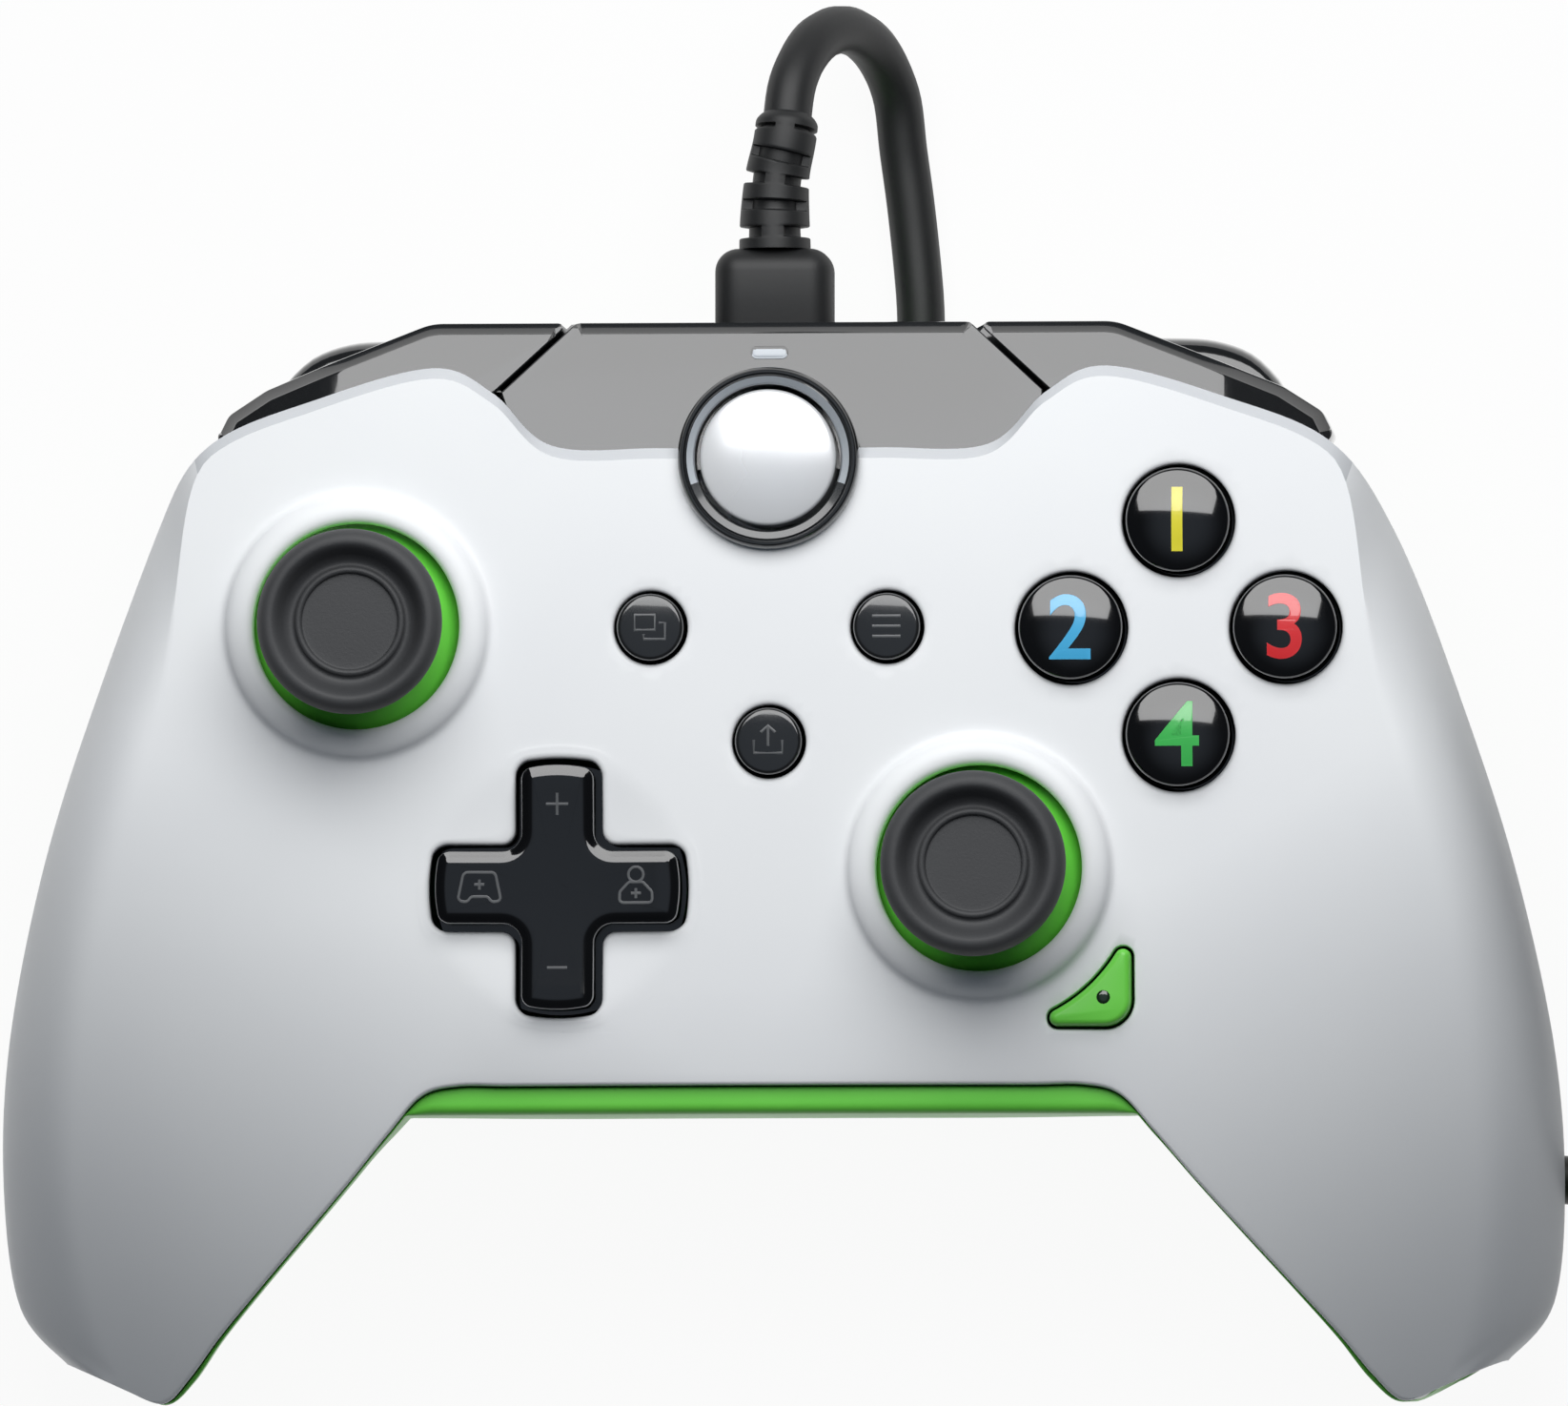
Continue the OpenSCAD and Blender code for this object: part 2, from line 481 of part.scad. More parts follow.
// Sticks
module housing_form() difference() {
  translate([-housing_side / 2, -housing_side / 2, board_top]) cube([housing_side, housing_side, 9.2]);
  difference() {
    translate([-6.8, -6.8, board_top + 1.2]) cube([13.6, 13.6, 10]);
    translate([-2, -2, board_top]) cube([4, 4, 1.5]);
  }
  translate([0, 0, pivot_z]) rotate([0, 90, 0]) cylinder(h = 30, r = 1 + pin_gap, center = true);
}
module yoke_form() translate([0, 0, pivot_z]) difference() {
  union() {
    cube([11, 9, 3], center = true);
    rotate([0, 90, 0]) cylinder(h = housing_side - 0.2, r = 1, center = true);
  }
  cube([8.4, 6.4, 5], center = true);
  rotate([90, 0, 0]) cylinder(h = 20, r = 0.8 + pin_gap, center = true);
}
module spider_form() translate([0, 0, pivot_z]) difference() {
  union() {
    cube([5.2, 5, 2.6], center = true);
    rotate([90, 0, 0]) cylinder(h = 8.8, r = 0.8, center = true);
  }
  cylinder(h = 20, r = post_r + pin_gap, center = true);
}
module stick_form() {
  translate([0, 0, pivot_z - 3.3]) cylinder(h = 10, r = post_r);
  translate([0, 0, pivot_z + 4.3]) cylinder(h = cap_top - 5.2 - pivot_z - 4.3, r = neck_r);
  translate([0, 0, cap_top - 5.4]) cylinder(h = 2, r = 2);
  difference() {
    translate([0, 0, pivot_z]) sphere(dome_r, $fn = 96);
    translate([0, 0, pivot_z]) sphere(dome_r - dome_wall, $fn = 96);
    translate([0, 0, pivot_z - 20]) cylinder(h = 24.1, r = 20);
  }
}
module cap_form() difference() {
  translate([0, 0, cap_top]) rotate_extrude() polygon([[0, -2.1], [4.6, -2.1], [4.85, -1.75], [5.35, -1.75],
    [5.65, -2.1], [6.3, -1.8], [6.9, -0.9], [7.4, -0.2], [7.9, 0], [8.5, -0.25], [cap_r - 0.2, -0.9],
    [cap_r, -1.8], [cap_r - 0.2, -2.7], [cap_r - 0.8, -3.5], [7, -4.2], [4.4, -4.6], [neck_r, -5.2],
    [0, -5.2]]);
  translate([0, 0, cap_top - 6]) cylinder(h = 2.65, r = 2);
}
module left_stick_housing() color(steel) at(left_stick) housing_form();
module right_stick_housing() color(steel) at(right_stick) housing_form();
module left_yoke() color(jet) at(left_stick) yoke_form();
module right_yoke() color(jet) at(right_stick) yoke_form();
module left_spider() color(steel) at(left_stick) spider_form();
module right_spider() color(steel) at(right_stick) spider_form();
module left_stick_dome() color(green) at(left_stick) stick_form();
module right_stick_dome() color(green) at(right_stick) stick_form();
module left_stick_cap() color(rubber) at(left_stick) cap_form();
module right_stick_cap() color(rubber) at(right_stick) cap_form();

// Direction pad
pad_pivot_z = board_top + 8;
module dpad() color(jet) at(pad_at) difference() {
  union() {
    slab(flange_z, face_height + pad_rise) cross_2d(0);
    slab(flange_z - 0.1, flange_z + 1.4) circle(pad_span / 2 + 0.9);
    for (a = [0:90:270]) rotate(a) translate([9, 0, pad_pivot_z - 1])
      cylinder(h = flange_z - pad_pivot_z + 1.5, r = 2.2);
    translate([0, 0, pad_pivot_z]) cylinder(h = flange_z - pad_pivot_z + 0.9, r = 3.4);
  }
  translate([0, 0, face_height + pad_rise + 99.2]) sphere(100, $fn = 96);
  translate([0, 0, pad_pivot_z]) sphere(2.4 + pin_gap);
}
module dpad_pivot() color(steel) at(pad_at, pad_pivot_z) sphere(2.4);
module dpad_membrane() color([0.75, 0.75, 0.76]) at(pad_at) difference() {
  union() {
    translate([0, 0, board_top]) cylinder(h = 1, r = 13);
    for (a = [0:90:270]) rotate(a) translate([9, 0, board_top + 0.9])
      cylinder(h = pad_pivot_z - 2.9 - board_top, r1 = 3.4, r2 = 2.2);
    translate([0, 0, board_top]) cylinder(h = 6.6, r = 2.8);
  }
  translate([0, 0, pad_pivot_z]) sphere(2.4 + pin_gap);
}

// Buttons
module cap_button(p, r, top, dome) at(p) intersection() {
  union() {
    slab(flange_z, top) circle(r);
    slab(flange_z - 0.1, flange_z + 1.4) circle(r + 1.1);
    slab(board_top + 2.5 + small_travel + slide_gap, flange_z) circle(r * 0.55);
  }
  translate([0, 0, top - dome]) sphere(dome, $fn = 96);
}
module action_button(turn) at(actions_at) rotate(turn) translate([action_ring, 0, 0]) rotate(-turn)
  cap_button([0, 0], action_r, face_height + action_rise, 24);
module north_button() color(jet) action_button(90);
module west_button() color(jet) action_button(180);
module east_button() color(jet) action_button(0);
module south_button() color(jet) action_button(270);
module view_button() color(gloss) cap_button(view_at, small_r, face_height + small_rise, 30);
module menu_button() color(gloss) cap_button(menu_at, small_r, face_height + small_rise, 30);
module share_button() color(gloss) cap_button(share_at, small_r, face_height + small_rise, 30);
module action_membrane() color([0.75, 0.75, 0.76]) at(actions_at) {
  translate([0, 0, board_top]) cylinder(h = 0.5, r = 16.5);
  for (a = [0:90:270]) rotate(a) translate([action_ring, 0, board_top + 0.4])
    cylinder(h = 2.1 + small_travel - action_travel, r1 = 4, r2 = 3);
}
module guide_ring() color(gloss) at(guide_at) rotate_extrude() polygon([[guide_r + slide_gap, ring_low],
  [ring_r - 0.45, ring_low], [ring_r - 0.45, face_height + 0.05], [ring_r, face_height + 0.05],
  [ring_r, face_height + 1], [ring_r - 0.5, face_height + 1.5], [guide_r + 1, face_height + 1.6],
  [guide_r + slide_gap, face_height + 1.1]]);
module guide_button() color([0.86, 0.87, 0.88]) at(guide_at) intersection() {
  union() {
    slab(guide_low, face_height + 5) circle(guide_r);
    slab(guide_low, guide_low + 1.6) circle(guide_r + 1.1);
    slab(guide_stem, guide_low + 0.2) circle(2.4);
  }
  translate([0, 0, face_height + 2.6 - 22]) sphere(22, $fn = 96);
}
module function_button() color(green) difference() {
  union() {
    slab(flange_z, face_height + 0.6) wedge_2d(0);
    slab(flange_z, flange_z + 1.4) wedge_2d(0.7);
    at(function_at) slab(board_top + 2.5 + small_travel + slide_gap, flange_z + 0.1) circle(1.8);
  }
  at(lens_at, face_height - 2) cylinder(h = 6, r = lens_r);
}
module function_light() color([0.05, 0.12, 0.06]) at(lens_at, face_height - 2)
  cylinder(h = 2.6, r = lens_r);

// Cable: straight out of the plug, a half turn down to the table and on to the coil
turn_pitch = cable_d + turn_gap;
layer_turns = 3;
coil_out = coil_r + layer_turns * turn_pitch / 2;
lead_y = -30;
coil_at = [hw + 7 + coil_out + cable_d / 2, coil_out + lead_y];
coil_z = cable_d / 2 + tie_t + 0.2;
layers = 4;
coil_turns = layers * layer_turns;
lie = cable_d / 2;
loop_end = lie + 0.3;
loop_side = [5.2, 0, (loop_end - usb_z) / 2];
loop_mid = [5.8, plug_y + plug_len + 12, (loop_end + usb_z) / 2];
route = concat([[0, plug_y + plug_len, usb_z], [0, plug_y + plug_len + 4, usb_z],
  [0.15, plug_y + plug_len + 8, usb_z]],
  [for (a = [0:30:180]) loop_mid - loop_side * cos(a) + [0, norm(loop_side) * sin(a), 0]],
  [[11.8, 66.5, lie], [12.6, 58.5, lie], [13.2, 49, lie], [16, 39.5, lie], [24, 31.8, lie],
  [34, 27.6, lie], [42, 21.5, lie],
  [46.5, 12, lie], [49, 0, lie], [52.5, -12, lie], [58.5, -22, lie], [67, lead_y + 2.2, lie], [77.5, lead_y, lie],
  [91, lead_y, lie], [106, lead_y, coil_z], [coil_at[0], coil_at[1] - coil_out, coil_z]]);
relief_steps = 30;
relief_end = relief_len * 0.228;

// Even frames along a line of points: each ring turns no more than the line does
function tangents(p) = let (n = len(p) - 1)
  [for (i = [0:n]) unit(p[min(n, i + 1)] - p[max(0, i - 1)])];
function normals(t, first) = [for (i = 0, n = unit(first - t[0] * (first * t[0])); i < len(t);
  i = i + 1, n = i < len(t) ? unit(n - t[i] * (n * t[i])) : n) n];
module tube(p, radii, sides, first = [0, 0, 1]) {
  t = tangents(p); n = normals(t, first); c = len(p);
  pts = [for (i = [0:c - 1], j = [0:sides - 1]) let (b = cross(t[i], n[i]), a = (j + 0.5) * 360 / sides)
    p[i] + radii[i] * (cos(a) * n[i] + sin(a) * b)];
  polyhedron(pts, concat([[for (j = [0:sides - 1]) j]],
    [for (i = [0:c - 2], j = [0:sides - 1]) let (k = (j + 1) % sides)
      each [[i * sides + j, (i + 1) * sides + j, (i + 1) * sides + k],
        [i * sides + j, (i + 1) * sides + k, i * sides + k]]],
    [[for (j = [sides - 1:-1:0]) (c - 1) * sides + j]]));
}
function line_length(p) = len(p) < 2 ? 0
  : [for (i = [0:len(p) - 2]) norm(p[i + 1] - p[i])] * [for (i = [0:len(p) - 2]) 1];

// Coil: turns spiral in and out, climbing one layer where the spiral turns back
function coil_radius(u) = let (v = u / layer_turns, f = floor(v), w = v - f)
  coil_out - layer_turns * turn_pitch * (f % 2 == 0 ? w : 1 - w);
function coil_height(u) = let (steps = [for (m = [1:layers - 1]) ease((u - m * layer_turns + 0.25) / 0.5)])
  coil_z + turn_pitch * (steps * [for (m = [1:layers - 1]) 1]);
function coil_point(u) = let (a = 360 * u - 90, r = coil_radius(u))
  [coil_at[0] + r * cos(a), coil_at[1] + r * sin(a), coil_height(u)];
top_z = coil_height(coil_turns) + cable_d / 2;
far_plug = [coil_at[0] + 27, coil_at[1] - 12, top_z + 4.4];
tail_from = coil_point(coil_turns);
function tail_point(t) = pow(1 - t, 3) * tail_from + 3 * t * pow(1 - t, 2) * (tail_from + [16, 0, 0.6])
  + 3 * t * t * (1 - t) * (far_plug - [0, 15, 0]) + pow(t, 3) * far_plug;
coil_line = concat([coil_point(0), coil_point(0) + [cable_d, 0, 0]],
  [for (u = [1:coil_turns * 24]) if (u > 1) coil_point(u / 24)],
  [for (t = [0.12:0.11:0.9]) tail_point(t)], [far_plug - [0, cable_d, 0], far_plug]);
relief_at = through(route, relief_end);
relief_to = unit(through(route, relief_end + 0.05) - through(route, relief_end - 0.05));
lead_line = concat([relief_at, relief_at + relief_to * 0.6],
  [for (k = [relief_end + 0.4:0.5:len(route) - 1.01]) through(route, k)],
  [route[len(route) - 1] - [cable_d, 0, 0], route[len(route) - 1]]);

module strain_relief() color(jet) {
  p = concat([route[0], route[0] + [0, 0.3, 0]],
    [for (i = [1:relief_steps - 1]) through(route, relief_end * i / relief_steps)],
    [relief_at - relief_to * 0.3, relief_at]);
  tube(p, [for (i = [0:relief_steps + 2]) i % 4 < 2 ? 3.55 - 0.03 * i : 2.9 - 0.015 * i], 12);
}
module cable_lead() color(jet) tube(lead_line, [for (q = lead_line) cable_d / 2], 8);
module cable_coil() color(jet) tube(coil_line, [for (q = coil_line) cable_d / 2], 6);
module coil_tie() color([0.2, 0.2, 0.2]) translate([coil_at[0], coil_at[1], 0]) rotate(150)
  translate([coil_r, 0, 0]) rotate([90, 0, 0]) linear_extrude(7, center = true) {
    tall = top_z + 0.25 + tie_t; wide = layer_turns * turn_pitch + cable_d + 0.5 + 2 * tie_t;
    difference() {
      translate([-wide / 2, 0]) square([wide, tall]);
      translate([-wide / 2 + tie_t, tie_t]) square([wide - 2 * tie_t, tall - 2 * tie_t]);
    }
  }
module soft_block(w, h, len, r) hull() for (x = [-1, 1], z = [-1, 1])
  translate([x * (w / 2 - r), 0, z * (h / 2 - r)]) along_y(0) cylinder(h = len, r = r, $fn = 24);
module connector_plug() color(jet) translate([0, plug_y, usb_z])
  soft_block(plug_width, plug_height, plug_len, 2.4);
module connector_tip() color(steel) translate([0, hd - 7.4, usb_z]) difference() {
  soft_block(8.1, 2.3, plug_y - hd + 7.4, 1.1);
  translate([-3.5, -1, -0.4]) cube([7, 6, 0.8]);
}
module usb_plug() color(jet) translate(far_plug) {
  soft_block(6, 6, 6, 2.4);
  translate([0, 5, 0]) soft_block(15.5, 8, 20, 2);
}
module usb_plug_shell() color(steel) translate(far_plug + [0, 25, 0]) difference() {
  translate([-6, 0, -2.25]) cube([12, 12, 4.5]);
  translate([-5.6, 2, -0.1]) cube([11.2, 12, 2]);
  for (x = [-2.9, 2.9]) translate([x - 1.1, 5, 1]) cube([2.2, 2.2, 4]);
}
// Least gap of the coil to itself, from each point to every point half a turn or more away
coil_gap = min([for (i = [0:len(coil_line) - 14]) min([for (j = [i + 13:len(coil_line) - 1])
  norm(coil_line[i] - coil_line[j])])]) - cable_d;
echo(coil_gap = coil_gap, lead = line_length(lead_line), coil = line_length(coil_line),
  relief = line_length([for (i = [0:relief_steps]) through(route, relief_end * i / relief_steps)]));

front_shell();
rear_shell();
center_fascia();
status_light();
left_bumper();
right_bumper();
left_trigger();
right_trigger();
trigger_pins();
bumper_pins();
trigger_springs();
bumper_switches();
chassis();
main_board();
shell_screws();
usb_socket();
headset_jack();
tact_switches();
guide_switch();
left_motor();
right_motor();
left_weight();
right_weight();
left_stick_housing();
right_stick_housing();
left_yoke();
right_yoke();
left_spider();
right_spider();
left_stick_dome();
right_stick_dome();
left_stick_cap();
right_stick_cap();
dpad();
dpad_pivot();
dpad_membrane();
north_button();
west_button();
east_button();
south_button();
action_membrane();
view_button();
menu_button();
share_button();
guide_ring();
guide_button();
function_button();
function_light();
connector_plug();
connector_tip();
strain_relief();
cable_lead();
cable_coil();
coil_tie();
usb_plug();
usb_plug_shell();
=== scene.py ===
import json
import math
import bmesh
import bpy
from mathutils import Matrix, Vector
from mathutils.bvhtree import BVHTree


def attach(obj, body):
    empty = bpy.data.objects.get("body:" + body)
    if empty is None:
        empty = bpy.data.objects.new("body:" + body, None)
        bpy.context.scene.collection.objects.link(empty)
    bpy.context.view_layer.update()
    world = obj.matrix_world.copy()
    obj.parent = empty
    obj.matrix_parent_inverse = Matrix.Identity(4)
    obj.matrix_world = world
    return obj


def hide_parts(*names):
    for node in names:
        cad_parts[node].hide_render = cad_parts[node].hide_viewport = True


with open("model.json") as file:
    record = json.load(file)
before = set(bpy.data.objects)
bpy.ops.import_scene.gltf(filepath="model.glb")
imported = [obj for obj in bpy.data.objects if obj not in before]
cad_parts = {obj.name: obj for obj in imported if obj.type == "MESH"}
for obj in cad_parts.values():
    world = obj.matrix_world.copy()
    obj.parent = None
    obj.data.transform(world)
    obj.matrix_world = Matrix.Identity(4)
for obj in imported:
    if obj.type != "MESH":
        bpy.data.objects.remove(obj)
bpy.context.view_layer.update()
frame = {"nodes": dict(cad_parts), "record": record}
scene = bpy.context.scene
millimetre = 0.001
up = Vector((0, 0, 1))


def mix(a, b, t):
    return a + (b - a) * t


def ease(t):
    c = min(1.0, max(0.0, t))
    return c * c * (3 - 2 * c)


def through(points, k):  # smooth curve through a list of numbers or vectors
    n = len(points) - 1
    i = min(n - 1, max(0, math.floor(k)))
    t = k - i
    a, b = points[max(0, i - 1)], points[i]
    c, d = points[i + 1], points[min(n, i + 2)]
    return (b * 2 + (c - a) * t + (a * 2 - b * 5 + c * 4 - d) * (t * t)
            + (b * 3 - a - c * 3 + d) * (t * t * t)) * 0.5


def shade(red, green, blue):  # screen colour 0 to 255 as a linear colour
    parts = [v / 255 for v in (red, green, blue)]
    linear = [v / 12.92 if v <= 0.04045 else ((v + 0.055) / 1.055) ** 2.4 for v in parts]
    return (*linear, 1.0)


# Camera: the view of the photograph, almost straight down and from far away
cameraSet = {"aim": (1.51, 15.79, 38.0), "lean": (0.0686, -0.056, 1.0), "away": 5000.0,
             "frameWidth": 154.75, "sensor": 36.0}


def addCamera(s):
    back = Vector(s["lean"]).normalized()
    right = Vector((0, 1, 0)).cross(back).normalized()
    turn = Matrix((right, back.cross(right), back)).transposed().to_4x4()
    spot = (Vector(s["aim"]) + back * s["away"]) * millimetre
    data = bpy.data.cameras.new("photoCamera")
    data.sensor_fit = 'HORIZONTAL'
    data.sensor_width = s["sensor"]
    data.lens = s["sensor"] * s["away"] / s["frameWidth"]
    data.clip_end = 50
    camera = bpy.data.objects.new("photoCamera", data)
    scene.collection.objects.link(camera)
    camera.matrix_world = Matrix.Translation(spot) @ turn
    scene.camera = camera


addCamera(cameraSet)


# Node helpers
def addNode(tree, kind, inputs=None, **settings):
    node = tree.nodes.new(kind)
    for key, value in settings.items():
        setattr(node, key, value)
    for key, value in (inputs or {}).items():
        if isinstance(value, bpy.types.NodeSocket):
            tree.links.new(value, node.inputs[key])
        else:
            node.inputs[key].default_value = value
    return node


def newGroup(name, inputs, outputs):
    tree = bpy.data.node_groups.new(name, 'ShaderNodeTree')
    for label, kind, value in inputs:
        socket = tree.interface.new_socket(label, in_out='INPUT', socket_type=kind)
        if value is not None:
            socket.default_value = value
    for label, kind in outputs:
        tree.interface.new_socket(label, in_out='OUTPUT', socket_type=kind)
    return tree, tree.nodes.new('NodeGroupInput').outputs, tree.nodes.new('NodeGroupOutput').inputs


def makeMouldGrain():  # moulded plastic: fine grain, slow tone drift and uneven polish
    tree, given, out = newGroup(
        "mouldGrain",
        [("Vector", 'NodeSocketVector', None), ("Grain", 'NodeSocketFloat', 4000.0),
         ("Drift", 'NodeSocketFloat', 40.0), ("Smooth", 'NodeSocketFloat', 0.3),
         ("Rough", 'NodeSocketFloat', 0.4)],
        [("Height", 'NodeSocketFloat'), ("Tone", 'NodeSocketFloat'), ("Roughness", 'NodeSocketFloat')])
    fine = addNode(tree, 'ShaderNodeTexNoise',
                   {"Vector": given["Vector"], "Scale": given["Grain"], "Detail": 3.0, "Roughness": 0.6})
    slow = addNode(tree, 'ShaderNodeTexNoise',
                   {"Vector": given["Vector"], "Scale": given["Drift"], "Detail": 4.0})
    spread = addNode(tree, 'ShaderNodeMapRange',
                     {"Value": slow.outputs["Fac"], "From Min": 0.3, "From Max": 0.7})
    polish = addNode(tree, 'ShaderNodeMapRange',
                     {"Value": slow.outputs["Fac"], "From Min": 0.25, "From Max": 0.75,
                      "To Min": given["Smooth"], "To Max": given["Rough"]})
    tree.links.new(fine.outputs["Fac"], out["Height"])
    tree.links.new(spread.outputs["Result"], out["Tone"])
    tree.links.new(polish.outputs["Result"], out["Roughness"])
    return tree


mouldGrain = makeMouldGrain()


def newMaterial(name, low, high, smooth, rough, grain=4000.0, drift=40.0, depth=0.02, bump=0.1, **fixed):
    made = bpy.data.materials.new(name)
    made.use_nodes = True
    tree = made.node_tree
    body = tree.nodes["Principled BSDF"]
    place = addNode(tree, 'ShaderNodeTexCoord')
    group = addNode(tree, 'ShaderNodeGroup',
                    {"Vector": place.outputs["Object"], "Grain": grain, "Drift": drift, "Smooth": smooth,
                     "Rough": rough}, node_tree=mouldGrain)
    colour = addNode(tree, 'ShaderNodeMix', {"Factor": group.outputs["Tone"], "A": low, "B": high},
                     data_type='RGBA')
    raised = addNode(tree, 'ShaderNodeBump', {"Strength": bump, "Distance": depth * millimetre,
                                              "Height": group.outputs["Height"]})
    tree.links.new(colour.outputs["Result"], body.inputs["Base Color"])
    tree.links.new(group.outputs["Roughness"], body.inputs["Roughness"])
    tree.links.new(raised.outputs["Normal"], body.inputs["Normal"])
    for key, value in fixed.items():
        body.inputs[key.replace("_", " ")].default_value = value
    return made


# Finishes by slot: name, two colours, least and most roughness, grain, bump depth and strength, other values
gloss = {"Specular_IOR_Level": 0.5, "Coat_Weight": 1.0, "Coat_Roughness": 0.04}
lookSet = {
    "white_shell": ("whiteShell", (240, 242, 244), (244, 246, 247), 0.36, 0.46, 5200, 0.02, 0.14,
                    {"drift": 30.0}),
    "green_plastic": ("greenPlastic", (112, 218, 76), (122, 226, 84), 0.3, 0.42, 5200, 0.02, 0.12, {}),
    "dark_gloss": ("darkGloss", (26, 27, 28), (31, 32, 33), 0.1, 0.17, 900, 0.006, 0.05, gloss),
    "black_gloss": ("blackGloss", (5, 5, 6), (8, 8, 9), 0.08, 0.14, 900, 0.006, 0.05, gloss),
    "pearl": ("pearlDome", (226, 228, 231), (236, 238, 240), 0.22, 0.3, 2600, 0.004, 0.05,
              {"Metallic": 0.25, "Coat_Weight": 0.6}),
    "stick_rubber": ("stickRubber", (56, 57, 59), (66, 67, 69), 0.56, 0.7, 3400, 0.06, 0.35, {}),
    "cable_black": ("cableJacket", (19, 20, 21), (26, 27, 28), 0.46, 0.6, 2200, 0.03, 0.2, {}),
    "tie_black": ("tieStrap", (34, 34, 35), (48, 48, 49), 0.7, 0.85, 1500, 0.15, 0.6, {}),
    "black_plastic": ("blackPlastic", (30, 31, 32), (40, 41, 42), 0.45, 0.6, 2600, 0.03, 0.2, {}),
    "steel": ("brightSteel", (182, 185, 190), (205, 207, 211), 0.24, 0.38, 1800, 0.01, 0.1,
              {"Metallic": 1.0}),
    "circuit_board": ("circuitBoard", (12, 74, 42), (24, 98, 56), 0.35, 0.5, 700, 0.04, 0.3,
                      {"drift": 160.0}),
    "membrane": ("membraneSilicone", (178, 180, 182), (196, 198, 200), 0.5, 0.62, 1400, 0.02, 0.1,
                 {"Transmission_Weight": 0.15}),
    "light_pipe": ("lightPipe", (172, 180, 188), (190, 197, 204), 0.2, 0.3, 2000, 0.006, 0.05,
                   {"Coat_Weight": 0.5}),
    "dark_lens": ("darkLens", (18, 40, 20), (24, 52, 26), 0.1, 0.18, 1500, 0.004, 0.05,
                  {"Coat_Weight": 1.0}),
    # second finishes on a piece: print, a darker white that paints shade on the front lip, and a lighter grey
    # that paints a reflection on the guide ring
    "ink": ("inkGrey", (84, 86, 88), (98, 100, 102), 0.3, 0.42, 4000, 0.005, 0.1, {}),
    # darker copy of the shell white for the front lip: painted shade
    "painted_shade_lip": ("paintedShadeLipWhite", (203, 206, 210), (209, 212, 215), 0.3, 0.4, 5200, 0.02, 0.1, {}),
    # lighter grey for the guide ring's band: painted reflection
    "painted_reflection_band": ("paintedReflectionBand", (136, 142, 147), (154, 159, 164), 0.28, 0.36, 4000, 0.004, 0.1,
                  {"Metallic": 0.6})}
looks = {}
for slot, (name, low, high, smooth, rough, grain, depth, bump, more) in lookSet.items():
    looks[slot] = newMaterial(name, shade(*low), shade(*high), smooth, rough, grain=grain, depth=depth,
                              bump=bump, **more)
print("materials:", len(bpy.data.materials))


# Stage: a plain pale floor, one soft box on the cable side and a dim studio round them
stageSet = {"floorHalf": 3.0, "floorTone": 0.8, "floorRough": 0.9, "boxSpot": (15.0, 183.0, 265.0),
            "boxAim": (5.0, 10.0, 36.0), "boxSize": (0.32, 0.25), "boxPower": 1.07, "whiteShare": 0.94,
            "skyTint": (0.84, 0.965, 1.14),
            "sky": [(0.0, 0.085), (0.3, 0.03), (0.85, 0.05), (1.0, 0.27)]}


def addStage(s):
    bm = bmesh.new()
    bmesh.ops.create_grid(bm, x_segments=8, y_segments=8, size=s["floorHalf"])
    mesh = bpy.data.meshes.new("studioFloor")
    bm.to_mesh(mesh)
    bm.free()
    floor = bpy.data.objects.new("studioFloor", mesh)
    scene.collection.objects.link(floor)
    look = bpy.data.materials.new("studioFloor")
    look.use_nodes = True
    tree = look.node_tree
    plain = tree.nodes["Principled BSDF"]
    plain.inputs["Base Color"].default_value = [s["floorTone"]] * 3 + [1]
    plain.inputs["Roughness"].default_value = s["floorRough"]
    ray = addNode(tree, 'ShaderNodeLightPath')
    seen = ray.outputs["Is Camera Ray"]
    for kind in ("Is Glossy Ray", "Is Transmission Ray"):
        either = addNode(tree, 'ShaderNodeMath', {0: seen, 1: ray.outputs[kind]}, operation='MAXIMUM')
        seen = either.outputs[0]
    share = addNode(tree, 'ShaderNodeMath', {0: seen, 1: s["whiteShare"]}, operation='MULTIPLY')
    white = addNode(tree, 'ShaderNodeEmission', {"Strength": 1.0})
    both = addNode(tree, 'ShaderNodeMixShader',
                   {0: share.outputs[0], 1: plain.outputs[0], 2: white.outputs[0]})
    tree.links.new(both.outputs[0], tree.nodes["Material Output"].inputs["Surface"])
    mesh.materials.append(look)
    lamp = bpy.data.lights.new("softBox", 'AREA')
    lamp.shape = 'RECTANGLE'
    lamp.size, lamp.size_y = s["boxSize"]
    lamp.energy = s["boxPower"]
    box = bpy.data.objects.new("softBox", lamp)
    box.visible_camera = False
    scene.collection.objects.link(box)
    spot = Vector(s["boxSpot"]) * millimetre
    turn = (Vector(s["boxAim"]) * millimetre - spot).to_track_quat('-Z', 'Y')
    box.matrix_world = Matrix.Translation(spot) @ turn.to_matrix().to_4x4()
    world = bpy.data.worlds.new("studioRoom")
    scene.world = world
    world.use_nodes = True
    tree = world.node_tree
    place = addNode(tree, 'ShaderNodeTexCoord')
    parts = addNode(tree, 'ShaderNodeSeparateXYZ', {0: place.outputs["Generated"]})
    ramp = addNode(tree, 'ShaderNodeValToRGB', {0: parts.outputs["Z"]})
    ramp.color_ramp.interpolation = 'EASE'
    for height, level in s["sky"][1:-1]:
        ramp.color_ramp.elements.new(height)
    for stop, (height, level) in zip(ramp.color_ramp.elements, s["sky"]):
        stop.position = height
        stop.color = [level * part for part in s["skyTint"]] + [1]
    tree.links.new(ramp.outputs[0], tree.nodes["Background"].inputs["Color"])
    scene.view_settings.view_transform = 'Standard'


addStage(stageSet)
print("stage ready")


